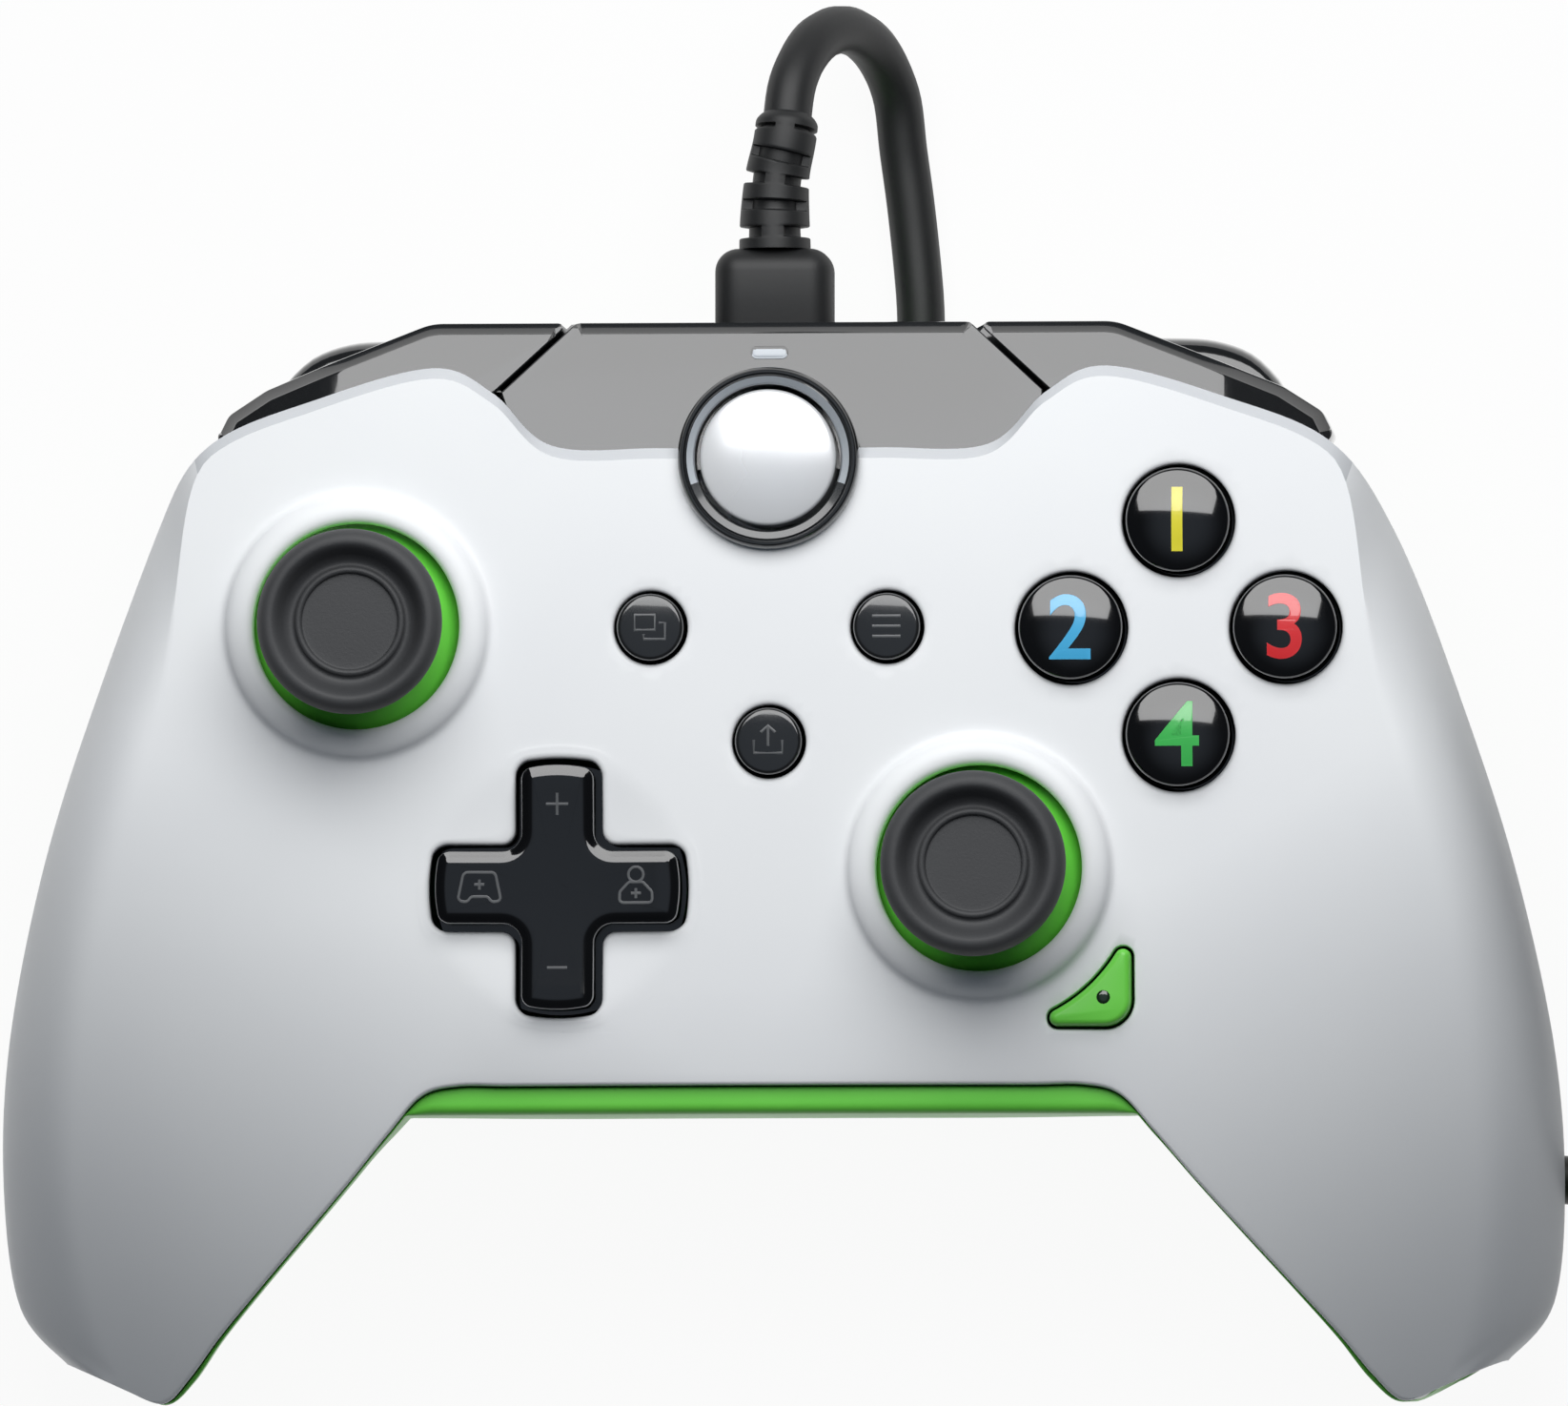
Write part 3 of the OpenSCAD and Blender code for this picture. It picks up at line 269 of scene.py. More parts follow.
# Mesh helpers: everything is drawn in millimetres and scaled once at the end
def makeRing(bm, points):
    found = bmesh.ops.create_circle(bm, segments=len(points), radius=1.0, cap_ends=False)["verts"]
    ring, known = [found[0]], {found[0]}
    while len(ring) < len(found):  # walk round, because the list may be out of order
        beside = [edge.other_vert(ring[-1]) for edge in ring[-1].link_edges]
        ring.append(next(vert for vert in beside if vert not in known))
        known.add(ring[-1])
    for vert, point in zip(ring, points):
        vert.co = point
    return ring


def ringEdges(bm, ring):
    return [bm.edges.get((ring[i - 1], ring[i])) for i in range(len(ring))]


def spotKey(co):
    return tuple(round(c, 5) for c in co)


def growRing(bm, ring, points):  # the next ring, joined to the last by a strip of faces
    made = bmesh.ops.extrude_edge_only(bm, edges=ringEdges(bm, ring))["geom"]
    fresh = {spotKey(v.co): v for v in made if isinstance(v, bmesh.types.BMVert)}
    grown = [fresh[spotKey(v.co)] for v in ring]
    for vert, point in zip(grown, points):
        vert.co = point
    return grown


def fillRing(bm, ring):
    bmesh.ops.edgeloop_fill(bm, edges=ringEdges(bm, ring))


def loft(bm, rings, closeStart=True, closeEnd=True):
    first = makeRing(bm, rings[0])
    ring = first
    for points in rings[1:]:
        ring = growRing(bm, ring, points)
    if closeStart:
        fillRing(bm, first)
    if closeEnd:
        fillRing(bm, ring)
    return first, ring


def spinProfile(bm, profile, centre, steps):  # profile: radius and height pairs
    verts = [bm.verts.new((centre[0] + r, centre[1], z)) for r, z in profile]
    edges = [bm.edges.new((verts[i], verts[i + 1])) for i in range(len(verts) - 1)]
    bmesh.ops.spin(bm, geom=verts + edges, angle=2 * math.pi, steps=steps, axis=up,
                   cent=(centre[0], centre[1], 0), use_merge=True)
    bmesh.ops.remove_doubles(bm, verts=bm.verts[:], dist=0.0005)


def lofted(rings):
    bm = bmesh.new()
    loft(bm, rings)
    return bm


def spun(profile, centre, steps):
    bm = bmesh.new()
    spinProfile(bm, profile, centre, steps)
    return bm


def smoothLine(points, count):  # open line of pairs, redrawn as a smooth curve
    line = [Vector(p) for p in points]
    return [through(line, (len(line) - 1) * i / count) for i in range(count + 1)]


def roundedOutline(corners, radius, steps=6):  # closed outline with round corners
    line = []
    n = len(corners)
    for i, corner in enumerate(corners):
        r = corner[2] if len(corner) > 2 else radius
        p, a, b = Vector(corner[:2]), Vector(corners[i - 1][:2]), Vector(corners[(i + 1) % n][:2])
        u, w = (a - p).normalized(), (b - p).normalized()
        half = u.angle(w) / 2
        cut = min(r / math.tan(half), (a - p).length * 0.49, (b - p).length * 0.49)
        start, end, pull = p + u * cut, p + w * cut, math.sin(half)
        for s in range(steps + 1):
            t = s / steps
            weights = ((1 - t) ** 2, 2 * pull * t * (1 - t), t * t)
            line.append((start * weights[0] + p * weights[1] + end * weights[2]) / sum(weights))
    return line


def resample(line, count):  # closed line, even steps
    lengths = [(line[(i + 1) % len(line)] - line[i]).length for i in range(len(line))]
    step = sum(lengths) / count
    made, i, gone = [], 0, 0.0
    for n in range(count):
        while gone + lengths[i] < n * step and i < len(line) - 1:
            gone += lengths[i]
            i += 1
        part = (n * step - gone) / max(lengths[i], 1e-9)
        made.append(line[i].lerp(line[(i + 1) % len(line)], min(1.0, part)))
    return made


def outlineNormals(line):  # outward for a line that runs counterclockwise
    n = len(line)
    area = sum(line[i - 1].x * line[i].y - line[i].x * line[i - 1].y for i in range(n))
    sign = 1 if area > 0 else -1
    made = []
    for i in range(n):
        along = (line[(i + 1) % n] - line[i - 1]).normalized()
        made.append(Vector((along.y, -along.x)) * sign)
    return made


def inward(outline, inset):  # the outline moved in along its normals
    return [p - n * inset for p, n in zip(outline, outlineNormals(outline))]


def circleOutline(radius, count):
    return [Vector((math.cos(2 * math.pi * i / count), math.sin(2 * math.pi * i / count))) * radius
            for i in range(count)]


def paintNew(bm, known):  # second finish on the faces that were not there before
    for face in bm.faces:
        if face not in known:
            face.material_index = 1


def addStroke(bm, points, wide, surface, closed=False):  # flat bead on a surface
    line = [Vector(p) for p in points]
    n = len(line)
    rings = []
    for i in range(n):
        ahead = line[(i + 1) % n] if closed or i < n - 1 else line[i]
        behind = line[i - 1] if closed or i > 0 else line[i]
        along = (ahead - behind).normalized()
        across = Vector((along.y, -along.x))
        rings.append([(line[i] + across * wide * 0.5 * math.cos(a)).to_3d()
                      + up * (surface(*line[i]) + wide * 0.16 * math.sin(a))
                      for a in [math.pi * j / 3 for j in range(6)]])
    known = set(bm.faces)
    first, end = loft(bm, rings, not closed, not closed)
    if closed:
        bmesh.ops.bridge_loops(bm, edges=ringEdges(bm, first) + ringEdges(bm, end))
    paintNew(bm, known)


textSet = {"extrude": 0.05, "swell": 0.012, "weld": 0.001, "cuts": 5, "proud": 0.035, "sunk": -0.12}


def addText(bm, words, size, centre, surface):  # thin raised sign on a surface
    s = textSet
    data = bpy.data.curves.new("sign", 'FONT')
    data.body = words
    data.size = size
    data.align_x = 'CENTER'
    data.align_y = 'CENTER'
    data.extrude = s["extrude"]
    data.offset = size * s["swell"]
    sign = bpy.data.objects.new("sign", data)
    scene.collection.objects.link(sign)
    flat = bpy.data.meshes.new_from_object(sign.evaluated_get(bpy.context.evaluated_depsgraph_get()))
    part = bmesh.new()
    part.from_mesh(flat)
    bmesh.ops.remove_doubles(part, verts=part.verts[:], dist=s["weld"])
    bmesh.ops.subdivide_edges(part, edges=part.edges[:], cuts=s["cuts"], use_grid_fill=True)
    middle = [(min(v.co[i] for v in part.verts) + max(v.co[i] for v in part.verts)) / 2 for i in (0, 1)]
    for vert in part.verts:
        x, y = vert.co.x - middle[0] + centre[0], vert.co.y - middle[1] + centre[1]
        vert.co = (x, y, surface(x, y) + (s["proud"] if vert.co.z > 0 else s["sunk"]))
    part.to_mesh(flat)
    part.free()
    known = set(bm.faces)
    bm.from_mesh(flat)
    paintNew(bm, known)
    bpy.data.objects.remove(sign)
    bpy.data.meshes.remove(flat)


def finishPiece(bm, name, body, node, slotName, extra=None, sharp=32.0, outward=True):
    if outward:
        bmesh.ops.recalc_face_normals(bm, faces=bm.faces[:])
    bmesh.ops.scale(bm, vec=Vector((millimetre,) * 3), verts=bm.verts[:])
    mesh = bpy.data.meshes.new(name)
    bm.to_mesh(mesh)
    bm.free()
    mesh.polygons.foreach_set("use_smooth", [True] * len(mesh.polygons))
    mesh.set_sharp_from_angle(angle=math.radians(sharp))
    mesh.materials.append(looks[slotName])
    if extra:
        mesh.materials.append(extra)
    piece = bpy.data.objects.new(name, mesh)
    scene.collection.objects.link(piece)
    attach(piece, body)
    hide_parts(node)
    return piece


def mirrorX(bm):
    bmesh.ops.scale(bm, vec=Vector((-1, 1, 1)), verts=bm.verts[:])
    bmesh.ops.reverse_faces(bm, faces=bm.faces[:])


# Cable: out of the relief, over and down to the table, under the gamepad and into a coil
cableSet = {"diameter": 4.8, "pitch": 5.5, "coilOut": 35.25, "coilAt": (122.15, 5.25), "coilZ": 3.4,
            "turns": 3, "layers": 4, "farPlug": (149.15, -6.75, 26.7), "length": 2.3, "relief": 3.42,
            "outPull": (16, 0, 0.6), "inPull": (0, 15, 0),
            "leave": [(-0.4, 61.6, 23.2), (-0.4, 65.2, 23.2), (-0.15, 68.9, 23.2)],
            "loopMiddle": (5.8, 72.6, 12.95), "loopSide": (5.2, 0, -10.25),
            "lie": [(11.8, 66.5, 2.4), (12.6, 58.5, 2.4), (13.2, 49, 2.4), (16, 39.5, 2.4), (24, 31.8, 2.4),
                    (34, 27.6, 2.4), (42, 21.5, 2.4), (46.5, 12, 2.4), (49, 0, 2.4), (52.5, -12, 2.4),
                    (58.5, -22, 2.4), (67, -27.8, 2.4), (77.5, -30, 2.4), (91, -30, 2.4), (106, -30, 3.4),
                    (122.15, -30, 3.4)]}


def coilPoint(s, u):  # spirals in and out, and climbs a layer where it turns back
    v = u / s["turns"]
    whole = math.floor(v)
    part = v - whole
    r = s["coilOut"] - s["turns"] * s["pitch"] * (part if whole % 2 == 0 else 1 - part)
    climb = sum(ease((u - m * s["turns"] + 0.25) / 0.5) for m in range(1, s["layers"]))
    a = 2 * math.pi * u - math.pi / 2
    return Vector((s["coilAt"][0] + r * math.cos(a), s["coilAt"][1] + r * math.sin(a),
                   s["coilZ"] + s["pitch"] * climb))


def makeCable(s):
    middle, side = Vector(s["loopMiddle"]), Vector(s["loopSide"])
    route = [Vector(p) for p in s["leave"]]
    for angle in range(0, 181, 30):
        t = math.radians(angle)
        route.append(middle - side * math.cos(t) + Vector((0, side.length * math.sin(t), 0)))
    route += [Vector(p) for p in s["lie"]]
    line = [through(route, i / 6) for i in range(6 * (len(route) - 1))]
    turns = s["turns"] * s["layers"]
    line += [coilPoint(s, i / 32) for i in range(32 * turns + 1)]
    start, end = line[-1], Vector(s["farPlug"])
    pulls = (start + Vector(s["outPull"]), end - Vector(s["inPull"]))
    for i in range(1, 15):
        t = i / 14
        line.append(start * (1 - t) ** 3 + pulls[0] * 3 * t * (1 - t) ** 2 + pulls[1] * 3 * t * t * (1 - t)
                    + end * t ** 3)
    data = bpy.data.curves.new("cable", 'CURVE')
    data.dimensions = '3D'
    data.bevel_depth = s["diameter"] / 2 * millimetre
    data.bevel_resolution = 5
    data.use_fill_caps = True
    spline = data.splines.new('POLY')
    spline.points.add(len(line) - 1)
    for point, co in zip(spline.points, line):
        point.co = (*(co * millimetre), 1)
    spline.use_smooth = True
    cable = bpy.data.objects.new("cable", data)
    data.materials.append(looks["cable_black"])
    scene.collection.objects.link(cable)
    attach(cable, "body")
    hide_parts("cable_lead", "cable_coil")
    return cable, route


cable, cableRoute = makeCable(cableSet)
print("cable ready")


# Shells: outline pairs from the middle to the right grip tip, as in the part's source
bodySet = {
    "face": 38.0, "droop": 0.0065, "lip": 2.8, "wall": 1.4, "tipPairs": 1.2, "thin": 0.06,
    # paintedShadeBand: first and last row and station reach of the front lip's faces, which get a darker
    # white as painted shade
    "paintedShadeBand": (71, 87, 6.3), "edgeRoll": 0.4, "tuck": 0.09, "tipTuck": 1.1, "lipEnd": -24.7,
    "droopFrom": (38, -2), "droopWay": (0.5, -0.866), "sag": 0.005, "sagFrom": -12, "sagEnd": (26, 14),
    "frontSeam": 3.6, "backSeam": 5, "gripSeam": 0.46,
    "backEdge": [Vector(p) for p in (
        (0, -21.9), (10, -21.9), (19, -21.9), (26, -21.9), (31, -21.9), (34.6, -22.9), (38, -26.6),
        (42, -31.3), (46.7, -36.5), (51.4, -41.6), (55.5, -46.1), (58.7, -50), (61.5, -52.4), (65, -51.2))],
    "frontEdge": [Vector(p) for p in (
        (0, 41.1), (11, 41.1), (21.6, 41.4), (27.4, 46.6), (33.4, 49.1), (45, 46), (55.5, 41.5), (61.5, 32.8),
        (68, 15.8), (73, 0), (76.6, -17), (77.5, -31), (76.2, -42.6), (71.6, -48.2))],
    "under": [-2, -2, -2, 1.5, 6, 8, 8.6, 8.6, 8.2, 7.4, 5.8, 3.6, 1.4, 0.4],
    "lipOut": [0.1] * 7 + [0.09, 0.1, 0.12, 0.16, 0.21, 0.12, 0],
    "reach": [10.9, 10.9, 10.4, 4] + [0] * 10}
lastPair = len(bodySet["frontEdge"]) - 1


def faceZ(p):  # height of the face, which droops along the grips and sags a little at the bridge
    way, (x, y), (first, wide) = bodySet["droopWay"], bodySet["droopFrom"], bodySet["sagEnd"]
    out = way[0] * (abs(p[0]) - x) + way[1] * (p[1] - y)
    back = max(0, bodySet["sagFrom"] - p[1]) * (1 - ease((abs(p[0]) - first) / wide))
    return bodySet["face"] - bodySet["droop"] * max(0, out) ** 2 - bodySet["sag"] * back * back


def flank(k):  # 0 along the front, 1 where the sides roll over
    return ease((k - 6) / 1.6)


def tipDrop(k, span):  # rounds off the last pairs at a grip tip
    if k <= lastPair - span:
        return 0.0
    return 1 - math.sqrt(max(0, 1 - min(1, (k - lastPair + span) / span) ** 2))


def seamFront(k, p):  # height of the seam between the shells, at the outer edge
    return mix(faceZ(p) - bodySet["frontSeam"], bodySet["gripSeam"] * faceZ(p), flank(k))


def seamBack(k, p):  # and at the edge that faces the player
    return mix(faceZ(p) - bodySet["backSeam"], bodySet["gripSeam"] * faceZ(p), ease((k - 9) / 4))


def tuckIn(k, edge, d):  # how far the seam lies inside the edge above it
    back = d * bodySet["tuck"] * (faceZ(edge) - seamBack(k, edge)) * ease((k - 5.2) / 1.5)
    end = Vector((-0.35, 0.94)) * bodySet["tipTuck"] * ease(k - lastPair + 1)
    return back, end


def topRow(station):  # white skin, from one seam over the face to the other
    k = min(lastPair, abs(station))
    side = -1 if station < 0 else 1
    done = abs(station) > lastPair
    i, o = through(bodySet["backEdge"], k), through(bodySet["frontEdge"], k)
    d = (o - i).normalized()
    span, f, ri = (o - i).length, flank(k), bodySet["edgeRoll"]
    ro, h = min(mix(1.1, 12, f), 0.75 * (span - ri)), mix(1.1, 0.34 * faceZ(o), f)
    back, end = tuckIn(k, i, d)
    turns = [math.radians(15 * n) for n in range(6)]
    rows = [(ri * (1 - math.cos(t)), ri * (1 - math.sin(t))) for t in turns]
    rows += [(mix(ri, span - ro, n / 64), 0.0) for n in range(65)]
    for n in range(1, 17):
        q = n / 16
        t = q * math.pi / 2
        rows.append((span - ro + ro * mix(q, math.sin(t), f), h * mix(q, 1 - math.cos(t), f)))
    p = i + back + end
    line = [Vector((p.x * side, p.y, seamBack(k, i)))]
    for a, drop in rows:
        p = i + d * a
        z = faceZ(p) - drop - bodySet["edgeRoll"] * tipDrop(k, 0.14)
        if done:
            p = i + d * max(a, back.length) + end
            z = mix(seamBack(k, i), seamFront(k, o), a / span)
        line.append(Vector((p.x * side, p.y, z)))
    p = o - d * 0.6 * f + end
    line.append(Vector((p.x * side, p.y, seamFront(k, o))))
    return line


def lowRow(station):  # green skin, from its lip round the underside to the other seam
    k = min(lastPair, abs(station))
    side = -1 if station < 0 else 1
    b, q = through(bodySet["backEdge"], k), through(bodySet["frontEdge"], k)
    d = (q - b).normalized()
    w = max(bodySet["lip"] * through(bodySet["lipOut"], k), (b.y - bodySet["lipEnd"]) / d.y)
    i = b - d * w
    o = q + Vector((0, through(bodySet["reach"], k))) - d * 0.6 * flank(k)
    zi = seamBack(k, b) - 0.2
    zo = mix(mix(19.7, 21.5, ease((k - 2) / 2)), seamFront(k, q) - 0.2, ease((k - 5.9) / 0.5))
    level = faceZ(b)
    top = mix(level - 1, zi, ease(k - lastPair + 1.2))  # the lip rises to the white edge
    back, end = tuckIn(k, b, d)
    i, o = i + back + end, o + end
    share = mix(0.36, 0.5, ease((k - 2) / 4))
    ni, no = mix(3, 2.3, ease((k - 3) / 4)), mix(1.4, 2.4, ease((k - 3) / 4))
    c = min(1.0, w * 0.45)
    drop = min(c, top - zi + 0.3)
    rim = [(-0.9, zi - 0.05), (min(0.12, w * 0.2), zi - 0.03), (min(0.15, w * 0.3), top - 0.03 * (top - zi)),
           (min(0.3, w * 0.45), top - 0.01), (w * 0.53, top)]
    rim += [(w - c + c * math.sin(t), top - drop * (1 - math.cos(t)))
            for t in [math.radians(18 * n) for n in range(6)]]
    line = []
    for out, z in rim:
        p = b - d * out + back * min(1.0, (level - z) / (level - zi)) + end
        line.append(Vector((p.x * side, p.y, z)))
    for n in range(1, 49):
        t = math.pi * n / 48
        power = 2 / (ni if n <= 24 else no)
        near = abs(math.cos(t)) ** power
        a = share * (1 - near) if n <= 24 else share + (1 - share) * near
        zl = mix(zi, zo, a)
        z = zl - (zl - through(bodySet["under"], k)) * max(0.0, math.sin(t)) ** power
        z = zl if abs(station) > lastPair else mix(max(z, 0.0), zl, tipDrop(k, 0.7))
        p = i + (o - i) * a
        line.append(Vector((p.x * side, p.y, z)))
    return line


def makeStations():  # places of the rows, closer together at the grip tips
    half = [0.08 * n for n in range(1, 38)] + [3 + 0.1 * n for n in range(1, 96)]
    half += [lastPair - 0.4 * (1 - math.sin(math.radians(7.5 * n))) for n in range(13)] + [lastPair + 0.2]
    return [-k for k in reversed(half)] + [0.0] + half


def skinGrid(rowOf, rim, band):  # a grid laid over all rows, thin at its rim and at the grip tips
    stations = makeStations()
    rows = [rowOf(k) for k in stations]
    across, along = len(rows[0]) - 1, len(rows) - 1
    bm = bmesh.new()
    weights = bm.verts.layers.deform.verify()
    bmesh.ops.create_grid(bm, x_segments=along, y_segments=across, size=1.0)
    for face in bm.faces:
        middle = face.calc_center_median()
        i = math.floor((middle.x + 1) / 2 * along)
        j = math.floor((middle.y + 1) / 2 * across)
        # faces in the band get the second material; on the front shell this is the darker white of painted
        # shade on the lip
        if band[0] <= j < band[1] and abs(stations[i]) < band[2]:
            face.material_index = 1
    for vert in bm.verts:
        i = round((vert.co.x + 1) / 2 * along)
        j = round((vert.co.y + 1) / 2 * across)
        vert.co = rows[i][j]
        if j < rim or abs(stations[i]) > lastPair - bodySet["tipPairs"]:
            vert[weights][0] = bodySet["thin"]
    bmesh.ops.remove_doubles(bm, verts=bm.verts[:], dist=0.002)
    return bm


def nearLine(point, line, margin):  # inside a closed line or within the margin of it
    inside = False
    n = len(line)
    for i in range(n):
        a, b = line[i - 1], line[i]
        if (a.y > point.y) != (b.y > point.y):
            if point.x < (b.x - a.x) * (point.y - a.y) / (b.y - a.y) + a.x:
                inside = not inside
        along = b - a
        t = max(0.0, min(1.0, (point - a).dot(along) / max(along.length_squared, 1e-12)))
        if (a + along * t - point).length < margin:
            return True
    return inside


def openHole(bm, flatten, place, outline, profile, margin, facing=up):
    # cuts the skin back to the outline, then grows the wall of the hole by pairs of offset and rise
    edge = inward(outline, -profile[0][0])
    middle = sum(edge, Vector((0, 0))) / len(edge)
    reach = max((p - middle).length for p in edge) + margin
    bare = {v for v in bm.verts if flatten(v.co) is not None and (flatten(v.co) - middle).length < reach
            and nearLine(flatten(v.co), edge, margin)}
    doomed = [f for f in bm.faces if any(v in bare for v in f.verts)]
    rim = set(e for f in doomed for e in f.edges)
    bmesh.ops.delete(bm, geom=doomed, context='FACES')
    rim = [e for e in rim if e.is_valid and e.is_boundary]
    ring = makeRing(bm, [place(p, 0.0) for p in edge])
    bmesh.ops.triangle_fill(bm, use_beauty=True, edges=rim + ringEdges(bm, ring), normal=facing)
    for out, rise in profile[1:]:
        ring = growRing(bm, ring, [place(p, rise) for p in inward(outline, -out)])
    return ring


def finishShell(bm, name, node, slotName, extra, side, level):
    bmesh.ops.recalc_face_normals(bm, faces=bm.faces[:])
    bm.normal_update()
    broad = max(bm.faces, key=lambda f: f.calc_area() if side * (f.calc_center_median().z - level) > 0 else 0)
    if broad.normal.z * side < 0:
        bmesh.ops.reverse_faces(bm, faces=bm.faces[:])
    weights = bm.verts.layers.deform.verify()
    for vert in bm.verts:
        if 0 not in vert[weights]:
            vert[weights][0] = 1.0
    piece = finishPiece(bm, name, "body", node, slotName, extra, sharp=30.0, outward=False)
    wall = piece.modifiers.new("wall", 'SOLIDIFY')
    wall.thickness = bodySet["wall"] * millimetre
    wall.offset = -1
    wall.use_even_offset = False
    piece.vertex_groups.new(name="wall")
    wall.vertex_group = "wall"


# Openings of the front face: a round hole has radius, sides and cut-back, a profile pairs of offset and rise
holeSet = {
    "leftStick": (-40.8, 23.5), "rightStick": (20.8, -0.6), "pad": (-20.8, -2.4), "actions": (40.5, 23.1),
    "actionRing": 10.6, "guide": (0, 40), "small": [(-11.7, 23.3), (11.7, 23.3), (0, 12)],
    "stickHole": (10.2, 128, 0.3), "actionHole": (5.6, 72, 0.35), "smallHole": (3.65, 56, 0.35),
    "wedgeArcs": [((14.2, -8.79), 0.8, 1, 0, 148), ((0, 0), 15.9, -1, -31.8, -62.4),
                  ((7.74, -14.8), 0.8, 1, 117.6, 270), ((12.4, -13), 2.6, 1, 270, 360)],
    "guideHole": 7.9, "wedgeGap": 0.3, "wedgeCut": 0.12, "padCut": 0.3,
    "bezel": [(4.2, 0.0), (3.3, 0.05), (2.85, 0.35), (2.55, 0.85), (2.15, 1.2), (1.6, 1.42), (1.0, 1.5),
              (0.5, 1.42), (0.15, 1.15), (0.0, 0.7), (0.0, -0.9)],
    "rim": [(0.55, 0.0), (0.3, -0.05), (0.12, -0.16), (0.02, -0.34), (0.0, -0.7), (0.0, -1.8)],
    "wedgeRim": [(0.25, 0.0), (0.1, -0.08), (0.0, -0.3), (0.0, -1.6)],
    "padRim": [(0.25, -0.06), (0.08, -0.2), (0.0, -0.42), (0.0, -1.8)],
    "padSpan": 23.3, "padArm": 7.2, "padGap": 0.7, "padBulge": 0.48, "padOuter": 0.95, "padInner": 1.9,
    "dish": 0.8, "dishRound": 98.0, "dishEdge": 14.3, "dishSoft": 0.12, "faceLevel": 37}
actionSpots = {"north": (0, 1), "west": (-1, 0), "east": (1, 0), "south": (0, -1)}
actionSpots = {n: (holeSet["actions"][0] + holeSet["actionRing"] * d[0],
                   holeSet["actions"][1] + holeSet["actionRing"] * d[1]) for n, d in actionSpots.items()}


def crossOutline(grow):  # cross with round corners, its arm ends bowed out
    s, a = holeSet["padSpan"] / 2 + grow, holeSet["padArm"] / 2 + grow
    outer, inner = holeSet["padOuter"] + grow * 0.6, max(0.5, holeSet["padInner"] - grow * 0.7)
    corners = []
    for c, n in (((1, 0), (0, 1)), ((0, 1), (-1, 0)), ((-1, 0), (0, -1)), ((0, -1), (1, 0))):
        for along, across, r in ((s, -a, outer), (s, a, outer), (a, a, inner)):
            corners.append((c[0] * along + n[0] * across, c[1] * along + n[1] * across, r))
    made = []
    for p in resample(roundedOutline(corners, 1.0, 8), 288):
        longer, shorter = (p.x, p.y) if abs(p.x) > abs(p.y) else (p.y, p.x)
        push = holeSet["padBulge"] * max(0.0, 1 - (shorter / a) ** 2) * ease((abs(longer) - s + 1.5) / 1.5)
        made.append(p * (1 + push / max(p.length, 1e-6)))
    return made


def wedgeOutline(grow):  # each arc: middle, radius, the way that it grows, first and last angle
    line = []
    for middle, radius, way, first, end in holeSet["wedgeArcs"]:
        for n in range(17):
            t = math.radians(mix(first, end, n / 16))
            spot = Vector(holeSet["rightStick"]) + Vector(middle)
            line.append(spot + Vector((math.cos(t), math.sin(t))) * (radius + way * grow))
    return resample(line, 150)


def makeFrontShell(s):
    # the lip band's faces take a darker white: painted shade
    bm = skinGrid(topRow, 0, bodySet["paintedShadeBand"])
    tree = BVHTree.FromBMesh(bm)

    def height(x, y):
        spot = tree.ray_cast(Vector((x, y, 100)), Vector((0, 0, -1)))[0]
        return spot.z if spot else faceZ((x, y))

    def flat(co):
        return co.xy if co.z > 20 else None

    def place(p, rise):
        return p.to_3d() + up * (height(*p) + rise)

    bezel = smoothLine(s["bezel"], 30)
    holes = [(s[name], s["stickHole"], bezel) for name in ("leftStick", "rightStick")]
    holes += [(spot, s["actionHole"], s["rim"]) for spot in actionSpots.values()]
    holes += [(spot, s["smallHole"], s["rim"]) for spot in s["small"]]
    for spot, (radius, sides, margin), profile in holes:
        outline = [Vector(spot) + p for p in circleOutline(radius, sides)]
        openHole(bm, flat, place, outline, profile, margin)
    openHole(bm, flat, place, wedgeOutline(s["wedgeGap"]), s["wedgeRim"], s["wedgeCut"])
    pad = Vector(s["pad"])
    cross = crossOutline(s["padGap"])
    edge = [pad + p.normalized() * s["dishEdge"] for p in cross]
    cross = [pad + p for p in cross]
    ring = openHole(bm, flat, place, edge, [(0.0, 0.0)], s["padCut"])

    def dishZ(p):
        bowl = -s["dish"] + (p - pad).length_squared / (2 * s["dishRound"])
        soft = s["dishSoft"]
        return height(*p) - 0.5 * (math.sqrt(bowl * bowl + soft * soft) - bowl) + soft * 0.35

    for n in range(1, 9):
        points = [e.lerp(p, n / 8) for e, p in zip(edge, inward(cross, -0.5))]
        ring = growRing(bm, ring, [p.to_3d() + up * mix(height(*p), dishZ(p), ease(n / 3)) for p in points])
    for out, rise in s["padRim"]:
        ring = growRing(bm, ring, [p.to_3d() + up * (dishZ(p) + rise) for p in inward(cross, -out)])
    guide = Vector(s["guide"])
    under = [f for f in bm.faces if (f.calc_center_median().xy - guide).length < s["guideHole"]]
    bmesh.ops.delete(bm, geom=under, context='FACES')
    finishShell(bm, "frontShell", "front_shell", "white_shell", looks["painted_shade_lip"], 1, s["faceLevel"])


makeFrontShell(holeSet)
print("front shell ready")


